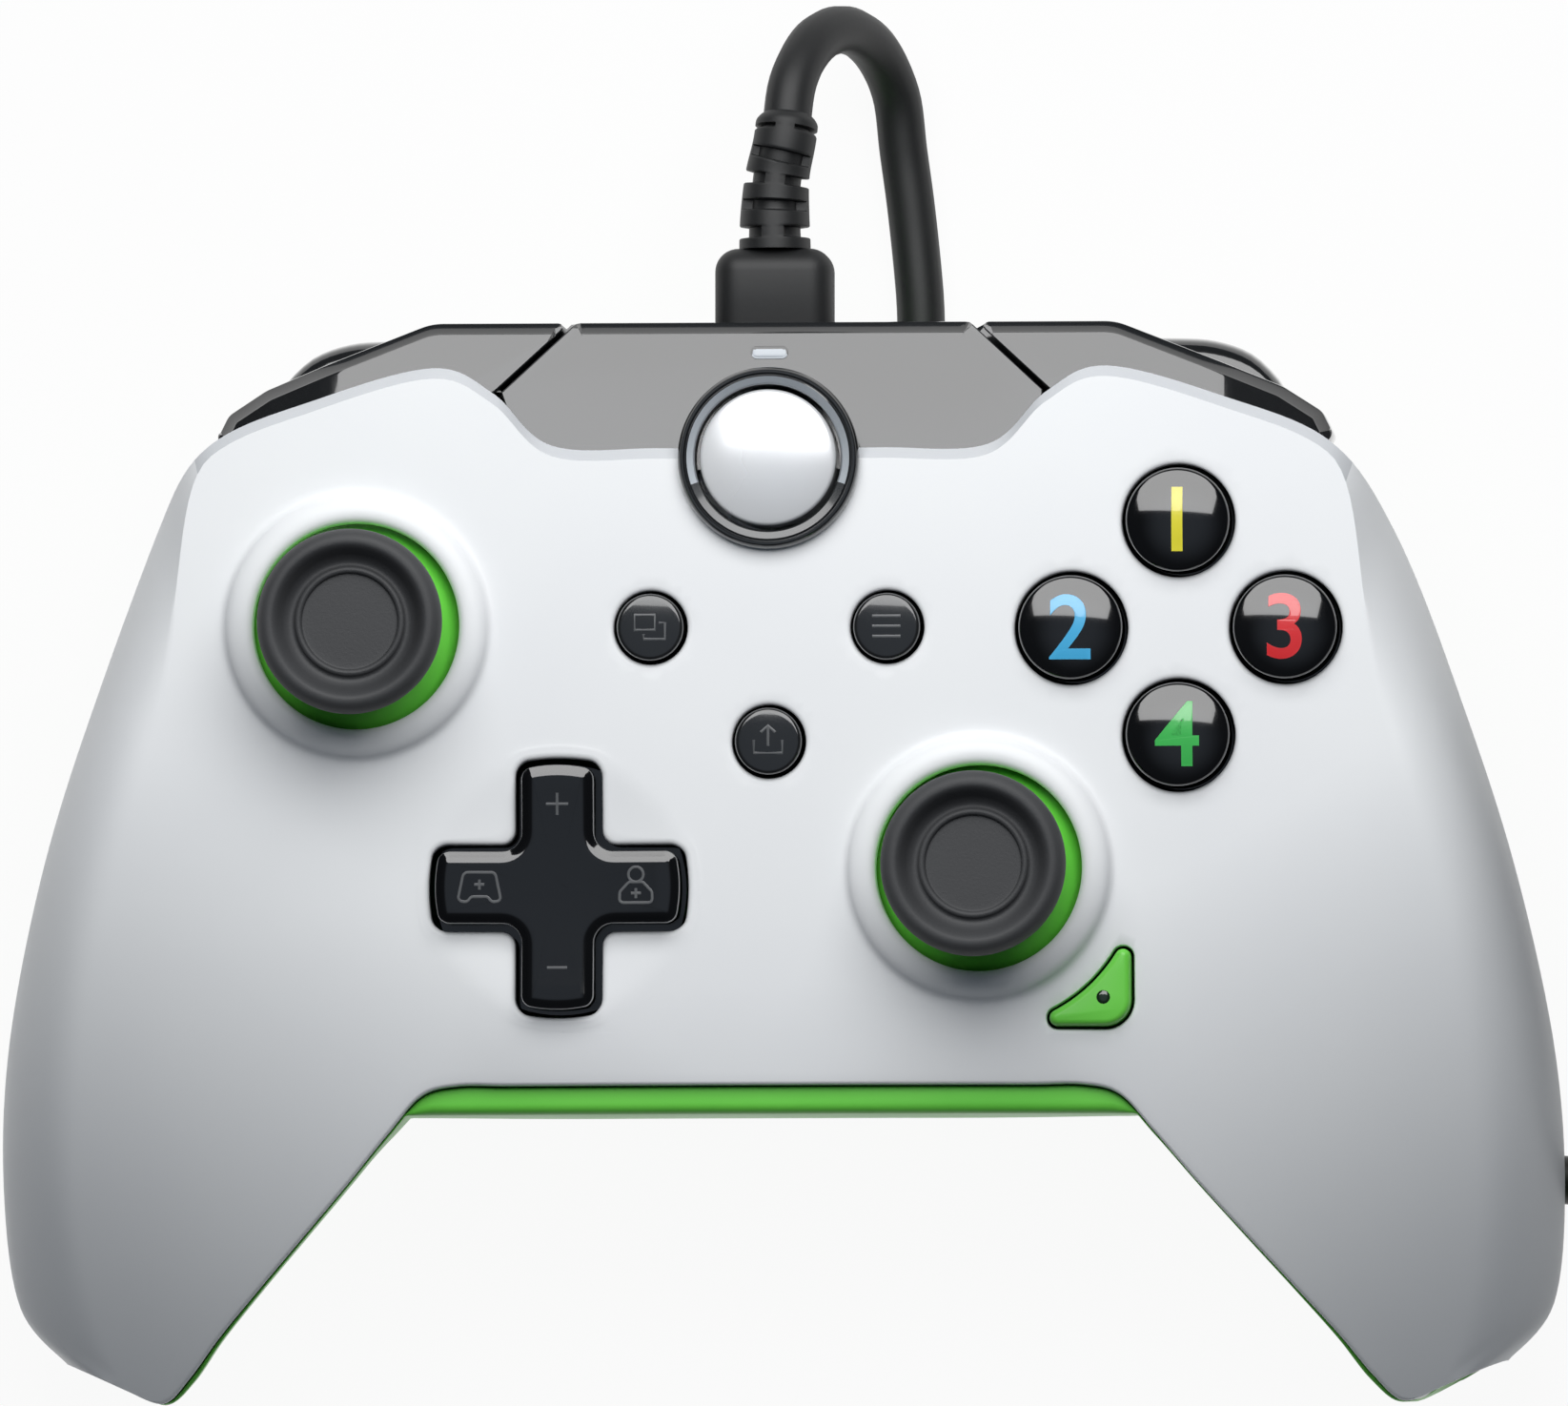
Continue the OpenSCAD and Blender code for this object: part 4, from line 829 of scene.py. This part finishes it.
# Rear shell: screw wells, the headset jack's hole and the pockets of the triggers
rearSet = {"screws": [(14.40, 32.20), (7.90, -15.23), (47.08, 2.21)], "wellRadius": 2.9, "wellTop": 13.0,
           "wellRim": [(0.4, 0.0), (0.12, 0.1), (0.0, 0.4)], "jackAt": (0.0, 16.5), "jackHole": 3.1,
           "jackRim": [(0.5, 0.0), (0.2, 0.1), (0.0, 0.4), (0.0, 1.8)], "baseLevel": 1,
           "pockets": [((26.7, 51.8), (41.0, 70.0), (-5.0, 40.0)), ((23.2, 50.2), (32.4, 41.4), (-5.0, 40.0)),
                       ((26.7, 56.5), (41.4, 70.0), (20.4, 40.0))]}


def cutPocket(bm, spans):  # slices along the six sides, then takes out what lies inside
    low = Vector([span[0] for span in spans])
    high = Vector([span[1] for span in spans])
    for axis in range(3):
        normal = Vector((0, 0, 0))
        normal[axis] = 1
        for corner in (low, high):
            near = [f for f in bm.faces if all(
                max(v.co[i] for v in f.verts) > low[i] - 1 and min(v.co[i] for v in f.verts) < high[i] + 1
                for i in range(3))]
            parts = list({v for f in near for v in f.verts}) + list({e for f in near for e in f.edges}) + near
            bmesh.ops.bisect_plane(bm, geom=parts, dist=0.001, plane_co=corner, plane_no=normal)
    gone = [f for f in bm.faces
            if all(low[i] < f.calc_center_median()[i] < high[i] for i in range(3))]
    bmesh.ops.delete(bm, geom=gone, context='FACES')


def makeRearShell(s):
    bm = skinGrid(lowRow, 12, (0, 0, 0))
    tree = BVHTree.FromBMesh(bm)

    def below(p, rise):
        spot = tree.ray_cast(Vector((p.x, p.y, -50)), up)[0]
        return p.to_3d() + up * ((spot.z if spot else 0.0) + rise)

    def behind(p, deep):
        spot = tree.ray_cast(Vector((p.x, -90, p.y)), Vector((0, 1, 0)))[0]
        return Vector((p.x, (spot.y if spot else -24.0) + deep, p.y))

    for side in (-1, 1):
        for x, y in s["screws"]:
            well = [Vector((x * side, y)) + p for p in circleOutline(s["wellRadius"], 48)]
            ring = openHole(bm, lambda co: co.xy if co.z < 14 else None, below, well, s["wellRim"], 0.25, -up)
            ring = growRing(bm, ring, [p.to_3d() + up * s["wellTop"] for p in well])
            fillRing(bm, ring)
    jack = [Vector(s["jackAt"]) + p for p in circleOutline(s["jackHole"], 48)]
    openHole(bm, lambda co: Vector((co.x, co.z)) if co.y < -15 and abs(co.x) < 12 else None,
             behind, jack, s["jackRim"], 0.2, Vector((0, -1, 0)))
    for spans in s["pockets"]:
        cutPocket(bm, spans)
        cutPocket(bm, ((-spans[0][1], -spans[0][0]), spans[1], spans[2]))
    finishShell(bm, "rearShell", "rear_shell", "green_plastic", None, -1, s["baseLevel"])


makeRearShell(rearSet)
print("rear shell ready")


# Front: fascia, bumpers and triggers
frontSet = {"top": 33.9, "tilt": math.tan(math.radians(8)), "tiltFrom": 41.0, "bendFrom": 42.3, "bend": 0.049,
            "bendSteep": 0.34, "steps": [(0.0, 1.1), (0.05, 0.93), (1.0, 0.3), (1.14, 0.1), (1.4, 0.0)],
            "foot": [(1.0, 1.0, 0.0), (0.3, 1.0, 0.1), (0.0, 1.0, 0.7), (0.0, 0.0, 1.0)],
            "fascia": (20.0, 0.0, 0.8, 1.3), "bumper": (22.0, -0.1, 0.3, 0.0),  # as facetPiece takes them
            "light": (-0.3, 50.8), "lightReach": 1.2, "lightEdge": 0.115,
            "lens": [(0.36, -2.0), (0.36, 0.05), (0.4, 0.09), (0.52, 0.1), (0.54, 0.14), (0.66, 0.17),
                     (0.85, 0.18)]}
fasciaCorners = [(-19.4, 53.9), (-26.9, 46.9, 0.15), (-24, 39), (24, 39), (26.9, 46.9, 0.15), (19.4, 53.9)]
bumperCorners = [(20.05, 53.9, 0.5), (27.5, 47, 0.15), (37, 42, 3.0), (54.9, 42, 0.4), (55.3, 42.8, 0.8),
                 (54.2, 45, 1.6), (50.4, 47.4, 4.0), (33.9, 53.9, 6.0)]


def facetZ(x, y):  # height of the leaning top, bent down at the outer ends
    s = frontSet
    over = max(0.0, abs(x) - s["bendFrom"])
    turn = s["bendSteep"] / (2 * s["bend"])
    bent = s["bend"] * min(over, turn) ** 2 + s["bendSteep"] * max(0.0, over - turn)
    return s["top"] - (y - s["tiltFrom"]) * s["tilt"] - bent


def facetPiece(corners, bottom, top, broadFrom, flange):  # chamfered block, its top leans to the cable side
    outline = resample(roundedOutline(corners, 0.7, 8), 260)
    normals = outlineNormals(outline)
    shares = [mix(0.1, 1.0, ease((n.y - broadFrom) / 0.15)) for n in normals]
    foot = [flange * ease((abs(n.x) - 0.4) / 0.2) for n in normals]
    rings = []
    for inset, grow, rise in frontSet["foot"]:
        rings.append([(p - n * (inset - f * grow)).to_3d() + up * (bottom + rise)
                      for p, n, f in zip(outline, normals, foot)])
    for inset, down in frontSet["steps"]:
        points = [p - n * inset * share for p, n, share in zip(outline, normals, shares)]
        rings.append([p.to_3d() + up * (facetZ(*p) - down * share + top)
                      for p, share in zip(points, shares)])
    return lofted(rings)


def makeFascia(s):
    bm = facetPiece(fasciaCorners, *s["fascia"])
    finishPiece(bm, "centerFascia", "body", "center_fascia", "dark_gloss", sharp=20)
    x, y = s["light"]
    rings = []
    for inset, rise in s["lens"]:
        ring = [Vector((x + s["lightReach"] * (1 if p.x > 0 else -1), y)) + p
                for p in circleOutline(1.0 - inset, 40)]
        rings.append([q.to_3d() + up * (facetZ(*q) + rise) for q in ring])
    bm = lofted(rings)
    for face in bm.faces:  # dark edge round the lens
        if len(face.verts) == 4 and face.calc_center_median().z < facetZ(x, y) + s["lightEdge"]:
            face.material_index = 1
    finishPiece(bm, "statusLight", "body", "status_light", "light_pipe", looks["black_gloss"])


def makeBumpers(s):
    for side, name in ((1, "right"), (-1, "left")):
        bm = facetPiece(bumperCorners, *s["bumper"])
        for n in range(18):
            cut = Vector((s["bendFrom"] - 1 + n * 0.85, 0, 0))
            top = [f for f in bm.faces if len(f.verts) > 6]
            parts = list({v for f in top for v in f.verts}) + list({e for f in top for e in f.edges}) + top
            bmesh.ops.bisect_plane(bm, geom=parts, dist=0.0001, plane_co=cut, plane_no=Vector((1, 0, 0)))
        if side < 0:
            mirrorX(bm)
        finishPiece(bm, name + "Bumper", name + "_bumper", name + "_bumper", "dark_gloss", sharp=20)


triggerSet = {
    "corner": (26.9, 53.4, 17.0), "span": (0.8, 24.3), "root": -9.4, "full": 9.0, "hub": 3,
    "ends": [(0.0, 0.8), (0.12, 0.42), (0.35, 0.16), (0.7, 0.03), (1.2, 0.0)],
    "profile": [(-8, 3.5), (-5, 3.6), (-2.6, 3.4), (-1.1, 2.6), (-0.5, 1.2), (-0.4, -0.6), (-0.7, -2.6),
                (-1.5, -5), (-2.4, -7), (-2.7, -8.6), (-2.5, -9.8), (-3.1, -10.45), (-4.5, -10.1), (-6, -8.4),
                (-7, -6), (-7.8, -3.4), (-8, -2), (-8.05, 1)],
    "limit": [(0.8, -0.4), (6, -0.4), (12.7, -0.4), (16.2, -0.7), (19.4, -1.8), (21.6, -3.6), (23.3, -5.8),
              (24.3, -8.2)],
    "arm": [(-9.4, -4.2), (-6.9, -5), (-6.9, 3), (-10.9, 3)], "armSpan": (2.1, 16.1), "pinBack": -15.9}


def limitAt(x, pairs):  # how far a trigger may reach at this place
    for (x0, y0), (x1, y1) in zip(pairs, pairs[1:]):
        if x <= x1:
            return mix(y0, y1, (x - x0) / (x1 - x0))
    return pairs[-1][1]


def makeTriggers(s):
    line = [Vector(p) for p in s["profile"]]
    closed = [line[-1]] + line + [line[0], line[1]]
    profile = resample([through(closed, 1 + n / 6) for n in range(6 * len(line))], 96)
    middle = sum(profile, Vector((0, 0))) / len(profile)
    near, far = s["span"]
    spots = [(near + a, e) for a, e in s["ends"]] + [(2.6 + n * 0.9, 0.0) for n in range(23)]
    spots += [(far - a, e * 0.5) for a, e in reversed(s["ends"][:4])]
    limit = smoothLine(s["limit"], 70)
    corner, root = Vector(s["corner"]), s["root"]
    for side, name in ((1, "right"), (-1, "left")):
        rings = []
        for x, shrink in spots:
            grow = (limitAt(x, limit) - root) / s["full"]
            ring = []
            for p in profile:
                q = p + (middle - p).normalized() * shrink
                ring.append(corner + Vector((x, root + (q.x - root) * grow, q.y)))
            rings.append(ring)
        bm = lofted(rings)
        hub = [(s["pinBack"] + s["hub"] * math.cos(t), s["hub"] * math.sin(t), 1.0)
               for t in [math.radians(75 + 15 * n) for n in range(14)]]
        arm = resample(roundedOutline(hub + s["arm"], 0.8, 4), 72)
        loft(bm, [[corner + Vector((x, p.x, p.y)) for p in arm] for x in s["armSpan"]])
        if side < 0:
            mirrorX(bm)
        finishPiece(bm, name + "Trigger", name + "_trigger", name + "_trigger", "dark_gloss", sharp=40)


makeFascia(frontSet)
makeBumpers(frontSet)
makeTriggers(triggerSet)
print("front pieces ready")


# Sticks: green dome with its post, and a rubber cap with a raised ring on its dish
stickSet = {"pivot": 27.5, "domeRadius": 13.5, "domeWall": 1.2, "domeLow": 4.1, "neck": 3.2, "capTop": 49.0,
            "capSeat": 5.15, "innerEnd": 0.26, "post": [(1.5, 5.0), (1.5, -3.1), (1.3, -3.3), (0.001, -3.3)],
            "cap": [(0.001, -2.1), (2.4, -2.1), (4.5, -2.1), (4.72, -2.0), (4.86, -1.78), (5.1, -1.68),
                    (5.34, -1.78), (5.5, -2.0), (5.75, -2.1), (6.1, -1.98), (6.5, -1.6), (6.85, -1.0),
                    (7.2, -0.42), (7.55, -0.08), (7.9, 0.0), (8.3, -0.1), (8.7, -0.42), (9.0, -0.95),
                    (9.15, -1.6), (9.12, -2.2), (8.9, -2.9), (8.4, -3.5), (7.4, -4.0), (6, -4.3), (4.6, -4.6),
                    (3.6, -5.0), (3.2, -5.2), (0.001, -5.2)]}


def makeSticks(s):
    outer, pivot, neck = s["domeRadius"], s["pivot"], s["neck"]
    inner = outer - s["domeWall"]
    start = math.asin(neck / outer)
    dome = [(neck, s["capTop"] - s["capSeat"]), (neck, pivot + outer * math.cos(start) + 0.5)]
    turns = [(outer, mix(start + 0.03, math.acos(s["domeLow"] / outer), n / 28)) for n in range(29)]
    turns += [(inner, mix(math.acos(s["domeLow"] / inner), s["innerEnd"], n / 14)) for n in range(15)]
    dome += [(r * math.sin(t), pivot + r * math.cos(t)) for r, t in turns]
    dome += [(r, pivot + z) for r, z in s["post"]]
    cap = [(max(0.0, p.x), s["capTop"] + p.y) for p in smoothLine(s["cap"], 4 * (len(s["cap"]) - 1))]
    for name in ("left", "right"):
        centre = holeSet[name + "Stick"]
        bm = spun(dome, centre, 96)
        finishPiece(bm, name + "StickDome", name + "_stick", name + "_stick_dome", "green_plastic")
        bm = spun(cap, centre, 112)
        finishPiece(bm, name + "StickCap", name + "_stick", name + "_stick_cap", "stick_rubber", sharp=50)


makeSticks(stickSet)
print("sticks ready")


# Direction pad: chamfered cross with a shallow hollow and thin signs
padSet = {"low": 33.2, "rise": 2.4, "hollow": 0.8, "hollowRound": 200.0, "line": 0.3,
          "edge": [(0.0, 1.05), (0.02, 0.78), (0.1, 0.52), (0.62, 0.22), (0.82, 0.1), (1.2, 0.0)],
          "flange": [(0.001, 32.6), (12.4, 32.6), (12.5, 32.7), (12.5, 34.0), (12.4, 34.1), (0.001, 34.1)],
          "gamepad": [(-1.55, 1.45), (-2.15, -1.35), (-1.25, -1.5), (-0.8, -0.95), (0.8, -0.95), (1.25, -1.5),
                      (2.15, -1.35), (1.55, 1.45)],
          "chest": [(-1.65, -1.6), (1.65, -1.6), (1.6, -0.5), (0.7, 0.45), (-0.7, 0.45), (-1.6, -0.5)]}


def makePad(s):
    pad = Vector(holeSet["pad"])
    top = bodySet["face"] + s["rise"] - s["hollow"]

    def surface(x, y):
        return top + (Vector((x, y)) - pad).length_squared / s["hollowRound"]

    cross = crossOutline(0.0)
    rings = [[(pad + p).to_3d() + up * s["low"] for p in cross]]
    for inset, down in s["edge"]:
        rings.append([(pad + p).to_3d() + up * (surface(*(pad + p)) - down) for p in inward(cross, inset)])
    for share in (0.88, 0.74, 0.58, 0.42, 0.26, 0.1):
        spots = [pad + p * share for p in inward(cross, s["edge"][-1][0])]
        rings.append([p.to_3d() + up * surface(*p) for p in spots])
    bm = lofted(rings)
    spinProfile(bm, s["flange"], pad, 72)

    def sign(points, centre, closed=False):
        addStroke(bm, [pad + Vector(centre) + Vector(p) for p in points], s["line"], surface, closed)

    def plus(centre, half):
        sign([(-half, 0), (-half / 2, 0), (0, 0), (half / 2, 0), (half, 0)], centre)
        sign([(0, -half), (0, -half / 2), (0, 0), (0, half / 2), (0, half)], centre)

    plus((0, 8.2), 1.1)
    sign([(-1.0, 0), (-0.5, 0), (0, 0), (0.5, 0), (1.0, 0)], (0, -8.0))
    sign(roundedOutline(s["gamepad"], 0.5, 4), (-7.7, 0), True)
    plus((-7.7, 0.25), 0.5)
    sign([p * 0.75 + Vector((0, 1.2)) for p in circleOutline(1.0, 18)], (7.8, 0), True)
    sign(roundedOutline(s["chest"], 0.4, 4), (7.8, 0), True)
    plus((7.8, -0.65), 0.5)
    finishPiece(bm, "directionPad", "dpad", "dpad", "black_gloss", looks["ink"], sharp=24)


makePad(padSet)
print("direction pad ready")


# Buttons: gloss domes, plain numbers on the four action buttons and generic signs on the small ones
buttonSet = {
    "action": {"radius": 5.3, "rise": 2.4, "dome": 15.5, "round": 0.55, "slot": "black_gloss"},
    "small": {"radius": 3.35, "rise": 1.1, "dome": 30.0, "round": 0.45, "slot": "dark_gloss"},
    "low": 33.0, "numberSize": 9.0, "line": 0.3, "sharp": 38,
    "numbers": {"north": ("1", shade(226, 216, 44)), "west": ("2", shade(70, 178, 228)),
                "east": ("3", shade(222, 40, 44)), "south": ("4", shade(58, 186, 80))},
    "signs": {"view": [([(-1.5, 1.2), (0.5, 1.2), (0.5, -0.3), (-1.5, -0.3)], True),
                       ([(0.9, 0.4), (1.5, 0.4), (1.5, -1.2), (-0.6, -1.2), (-0.6, -0.7)], False)],
              "menu": [([(-1.4, y), (0, y), (1.4, y)], False) for y in (1.0, 0, -1.0)],
              "share": [([(-1.4, 0.1), (-1.4, -1.2), (1.4, -1.2), (1.4, 0.1)], False),
                        ([(0, -0.5), (0, 0.5), (0, 1.5)], False),
                        ([(-0.7, 0.85), (0, 1.5), (0.7, 0.85)], False)]}}


capSet = {"flange": 0.9, "flangeTop": 1.1, "wallEnd": 1.2, "sides": 72}


def capButton(centre, radius, top, dome, rounding, low):  # domed top, rounded edge and a flange below
    flat = radius - rounding
    edge = dome - math.sqrt(dome * dome - flat * flat)
    profile = [(0.0, top)]
    for n in range(1, 17):
        r = flat * n / 16
        profile.append((r, top - dome + math.sqrt(dome * dome - r * r)))
    lean = math.asin(flat / dome)
    middle = (flat - rounding * math.sin(lean), top - edge - rounding * math.cos(lean))
    for n in range(1, 9):
        a = mix(lean, math.pi / 2, n / 8)
        profile.append((min(radius, middle[0] + rounding * math.sin(a)), middle[1] + rounding * math.cos(a)))
    wide = radius + capSet["flange"]
    profile += [(profile[-1][0], low + capSet["wallEnd"]), (wide, low + capSet["flangeTop"]), (wide, low),
                (0.0, low)]
    return spun(profile, centre, capSet["sides"])


def makeButtons(s):
    jobs = [(name, spot, s["action"]) for name, spot in actionSpots.items()]
    jobs += [(name, spot, s["small"]) for name, spot in zip(s["signs"], holeSet["small"])]
    for name, spot, kind in jobs:
        top, dome = bodySet["face"] + kind["rise"], kind["dome"]

        def surface(x, y):
            return top - dome + math.sqrt(dome * dome - (x - spot[0]) ** 2 - (y - spot[1]) ** 2)

        bm = capButton(spot, kind["radius"], top, dome, kind["round"], s["low"])
        ink = looks["ink"]
        if name in s["numbers"]:
            words, colour = s["numbers"][name]
            ink = newMaterial(name + "Number", colour, colour, 0.2, 0.3, depth=0.004, Coat_Weight=1.0)
            addText(bm, words, s["numberSize"], spot, surface)
        for line, closed in s["signs"].get(name, []):
            addStroke(bm, [Vector(spot) + Vector(p) for p in line], s["line"], surface, closed)
        node = name + "_button"
        finishPiece(bm, name + "Button", node, node, kind["slot"], ink, sharp=s["sharp"])


makeButtons(buttonSet)
print("buttons ready")


# Guide: bare pearl dome in a stepped dark ring, with a lighter grey band on the ring away from the player as
# a painted reflection
guideSet = {"dome": 22.0, "radius": 6.9, "top": 40.6, "round": 0.5, "low": 30.0,
            "band": (7.3, 8.1, 39.3, 2.4),  # painted reflection band: least and most radius, lowest height, reach to the player
            "ring": [(7.2, 36.0), (7.2, 39.0), (7.26, 39.25), (7.4, 39.36), (8.05, 39.42), (8.16, 39.36),
                     (8.2, 39.2), (8.26, 39.2), (8.32, 39.42), (8.42, 39.5), (8.6, 39.5), (8.78, 39.36),
                     (8.94, 39.0), (9.0, 38.6), (9.0, 38.05), (8.55, 38.0), (8.55, 33.0), (7.2, 33.0)]}


def makeGuide(s):
    spot = holeSet["guide"]
    bm = capButton(spot, s["radius"], s["top"], s["dome"], s["round"], s["low"])
    finishPiece(bm, "guideButton", "guide_button", "guide_button", "pearl", sharp=38)
    bm = spun(s["ring"] + [s["ring"][0]], spot, 112)
    inner, outer, level, reach = s["band"]
    # the ring's top band, except on the player's side, is painted lighter grey as a painted reflection
    for face in bm.faces:
        middle = face.calc_center_median()
        away = (middle.xy - Vector(spot)).length
        if inner < away < outer and middle.z > level and middle.y > spot[1] - reach:
            face.material_index = 1
    finishPiece(bm, "guideRing", "body", "guide_ring", "dark_gloss", looks["painted_reflection_band"], sharp=30)


makeGuide(guideSet)


# Function button: a green wedge beside the right stick, with its small dark light
wedgeSet = {"top": 38.6, "low": 34.0, "lens": (33.1, -13.4), "lensRadius": 0.75,
            "lensLine": [(0.0, 0.14), (0.5, 0.11), (0.85, 0.04), (1, -0.08), (1, -2.4), (0.0, -2.4)],
            "edge": [(0.0, 0.9), (0.03, 0.6), (0.14, 0.3), (0.36, 0.08), (0.65, 0.0)]}


def makeWedge(s):
    outline = wedgeOutline(0.0)
    rings = [[p.to_3d() + up * s["low"] for p in outline]]
    for inset, down in s["edge"]:
        rings.append([p.to_3d() + up * (s["top"] - down) for p in inward(outline, inset)])
    bm = lofted(rings)
    finishPiece(bm, "functionButton", "function_button", "function_button", "green_plastic", sharp=30)
    r, top = s["lensRadius"], s["top"]
    bm = spun([(r * share, top + rise) for share, rise in s["lensLine"]], s["lens"], 32)
    finishPiece(bm, "functionLight", "function_button", "function_light", "dark_lens")


makeWedge(wedgeSet)
print("guide and function button ready")


# Cord pieces: plug overmould and ribbed relief at the gamepad, tie of the coil and far plug
plugSet = {"at": (-0.4, 53.7, 23.2), "width": 11.7, "height": 7.4, "length": 7.9, "corner": 2.4,
           "shoulder": 2.3, "reliefRadius": 3.55, "reliefEnd": 3.1, "groove": 0.95, "bands": 5, "steps": 120,
           "sides": 40, "ribbed": (0.06, 0.93), "dip": (0.32, 0.12), "web": (0.9, 0.06),
           "mouth": [(0.35, 0.0), (0.1, 0.12), (0.0, 0.4)]}


def boxOutline(width, height, corner, count):
    w, h = width / 2, height / 2
    return resample(roundedOutline([(-w, -h), (w, -h), (w, h), (-w, h)], corner, 8), count)


def makePlug(s):
    at = Vector(s["at"])
    base = boxOutline(s["width"], s["height"], s["corner"], 72)
    ends = s["mouth"] + [
        (s["shoulder"] * (1 - math.cos(t)), s["length"] - s["shoulder"] + s["shoulder"] * math.sin(t))
        for t in [math.radians(10 * n) for n in range(10)]]
    bm = lofted([[at + Vector((p.x, y, p.y)) for p in inward(base, inset)] for inset, y in ends])
    return finishPiece(bm, "connectorPlug", "body", "connector_plug", "cable_black")


def makeRelief(s):  # grooved sleeve on the cable, its webs at the sides and at top and bottom by turns
    count, sides = s["steps"], s["sides"]
    (first, last), (half, soft), (webFrom, webSoft) = s["ribbed"], s["dip"], s["web"]
    normal = up.copy()
    rings = []
    for n in range(count + 1):
        u = n / count
        k = cableSet["relief"] * u
        along = (through(cableRoute, k + 0.02) - through(cableRoute, max(0.0, k - 0.02))).normalized()
        normal = (normal - along * normal.dot(along)).normalized()
        across = along.cross(normal)
        full = mix(s["reliefRadius"], s["reliefEnd"], ease(u * 1.2)) - 0.7 * max(0.0, (u - 0.95) / 0.05) ** 2
        beat = u * s["bands"] * 2 - 0.5
        dip = 1 - ease((abs(beat % 2 - 1) - half) / soft) if first < u < last else 0.0
        turn = math.floor(beat / 2) % 2
        ring = []
        for j in range(sides):
            a = 2 * math.pi * j / sides
            web = abs(math.cos(a)) if turn else abs(math.sin(a))
            r = full - s["groove"] * dip * (1 - ease((web - webFrom) / webSoft))
            ring.append(through(cableRoute, k) + (normal * math.sin(a) + across * math.cos(a)) * r)
        rings.append(ring)
    bm = lofted(rings)
    return finishPiece(bm, "strainRelief", "body", "strain_relief", "cable_black", sharp=40)


tieSet = {"turn": 150.0, "radius": 27.0, "tall": 23.35, "across": 23.4, "corner": 2.2,
          "band": [(0.0, 3.3), (0.12, 3.5), (0.68, 3.5), (0.8, 3.3), (0.8, -3.3), (0.68, -3.5), (0.12, -3.5),
                   (0.0, -3.3)]}


def makeTie(s):
    turn = Matrix.Rotation(math.radians(s["turn"]), 4, 'Z')
    base = [p + Vector((0, s["tall"] / 2)) for p in boxOutline(s["across"], s["tall"], s["corner"], 96)]
    middle = Vector((*cableSet["coilAt"], 0))
    bm = bmesh.new()
    rings = [[turn @ Vector((s["radius"] + p.x, y, p.y)) + middle for p in inward(base, inset)]
             for inset, y in s["band"]]
    first, end = loft(bm, rings, False, False)
    bmesh.ops.bridge_loops(bm, edges=ringEdges(bm, first) + ringEdges(bm, end))
    return finishPiece(bm, "coilTie", "body", "coil_tie", "tie_black", sharp=50)


farSet = {"width": 15.5, "height": 8.0, "start": 5.0, "corner": 2.0, "neck": 3.0,
          "neckStops": (0.0, 3.0, 4.6), "grooves": 5, "grooveFrom": 7.0, "groovePitch": 2.0, "groove": 0.35,
          "shoulder": [(0.9, 0.0), (0.25, 0.2), (0.0, 0.9), (0.0, 6.5)],
          "front": [(0.0, 18.6), (0.3, 19.6), (0.9, 20.0)]}


def makeFarPlug(s):
    at = Vector(cableSet["farPlug"])
    base = boxOutline(s["width"], s["height"], s["corner"], 72)
    neck = [p * (s["neck"] / p.length) for p in base]
    stops = list(s["shoulder"])
    for n in range(s["grooves"]):
        y = s["grooveFrom"] + n * s["groovePitch"]
        stops += [(0.0, y), (s["groove"], y + 0.25), (s["groove"], y + 1.0), (0.0, y + 1.25)]
    stops += s["front"]
    rings = [[at + Vector((p.x, y, p.y)) for p in neck] for y in s["neckStops"]]
    for inset, y in stops:
        rings.append([at + Vector((p.x, s["start"] + y, p.y)) for p in inward(base, inset)])
    bm = lofted(rings)
    return finishPiece(bm, "usbPlug", "body", "usb_plug", "cable_black")


cordPieces = [makePlug(plugSet), makeRelief(plugSet), makeTie(tieSet), makeFarPlug(farSet)]
print("cord pieces ready")


# The solids that stay get a finish by their slot
def dressSolids():
    slots = {row["node"]: row["material_slot"] for row in frame["record"]["subparts"]}
    for name, node in frame["nodes"].items():
        node.data.materials.clear()
        node.data.materials.append(looks[slots[name]])


dressSolids()
print("solids dressed")
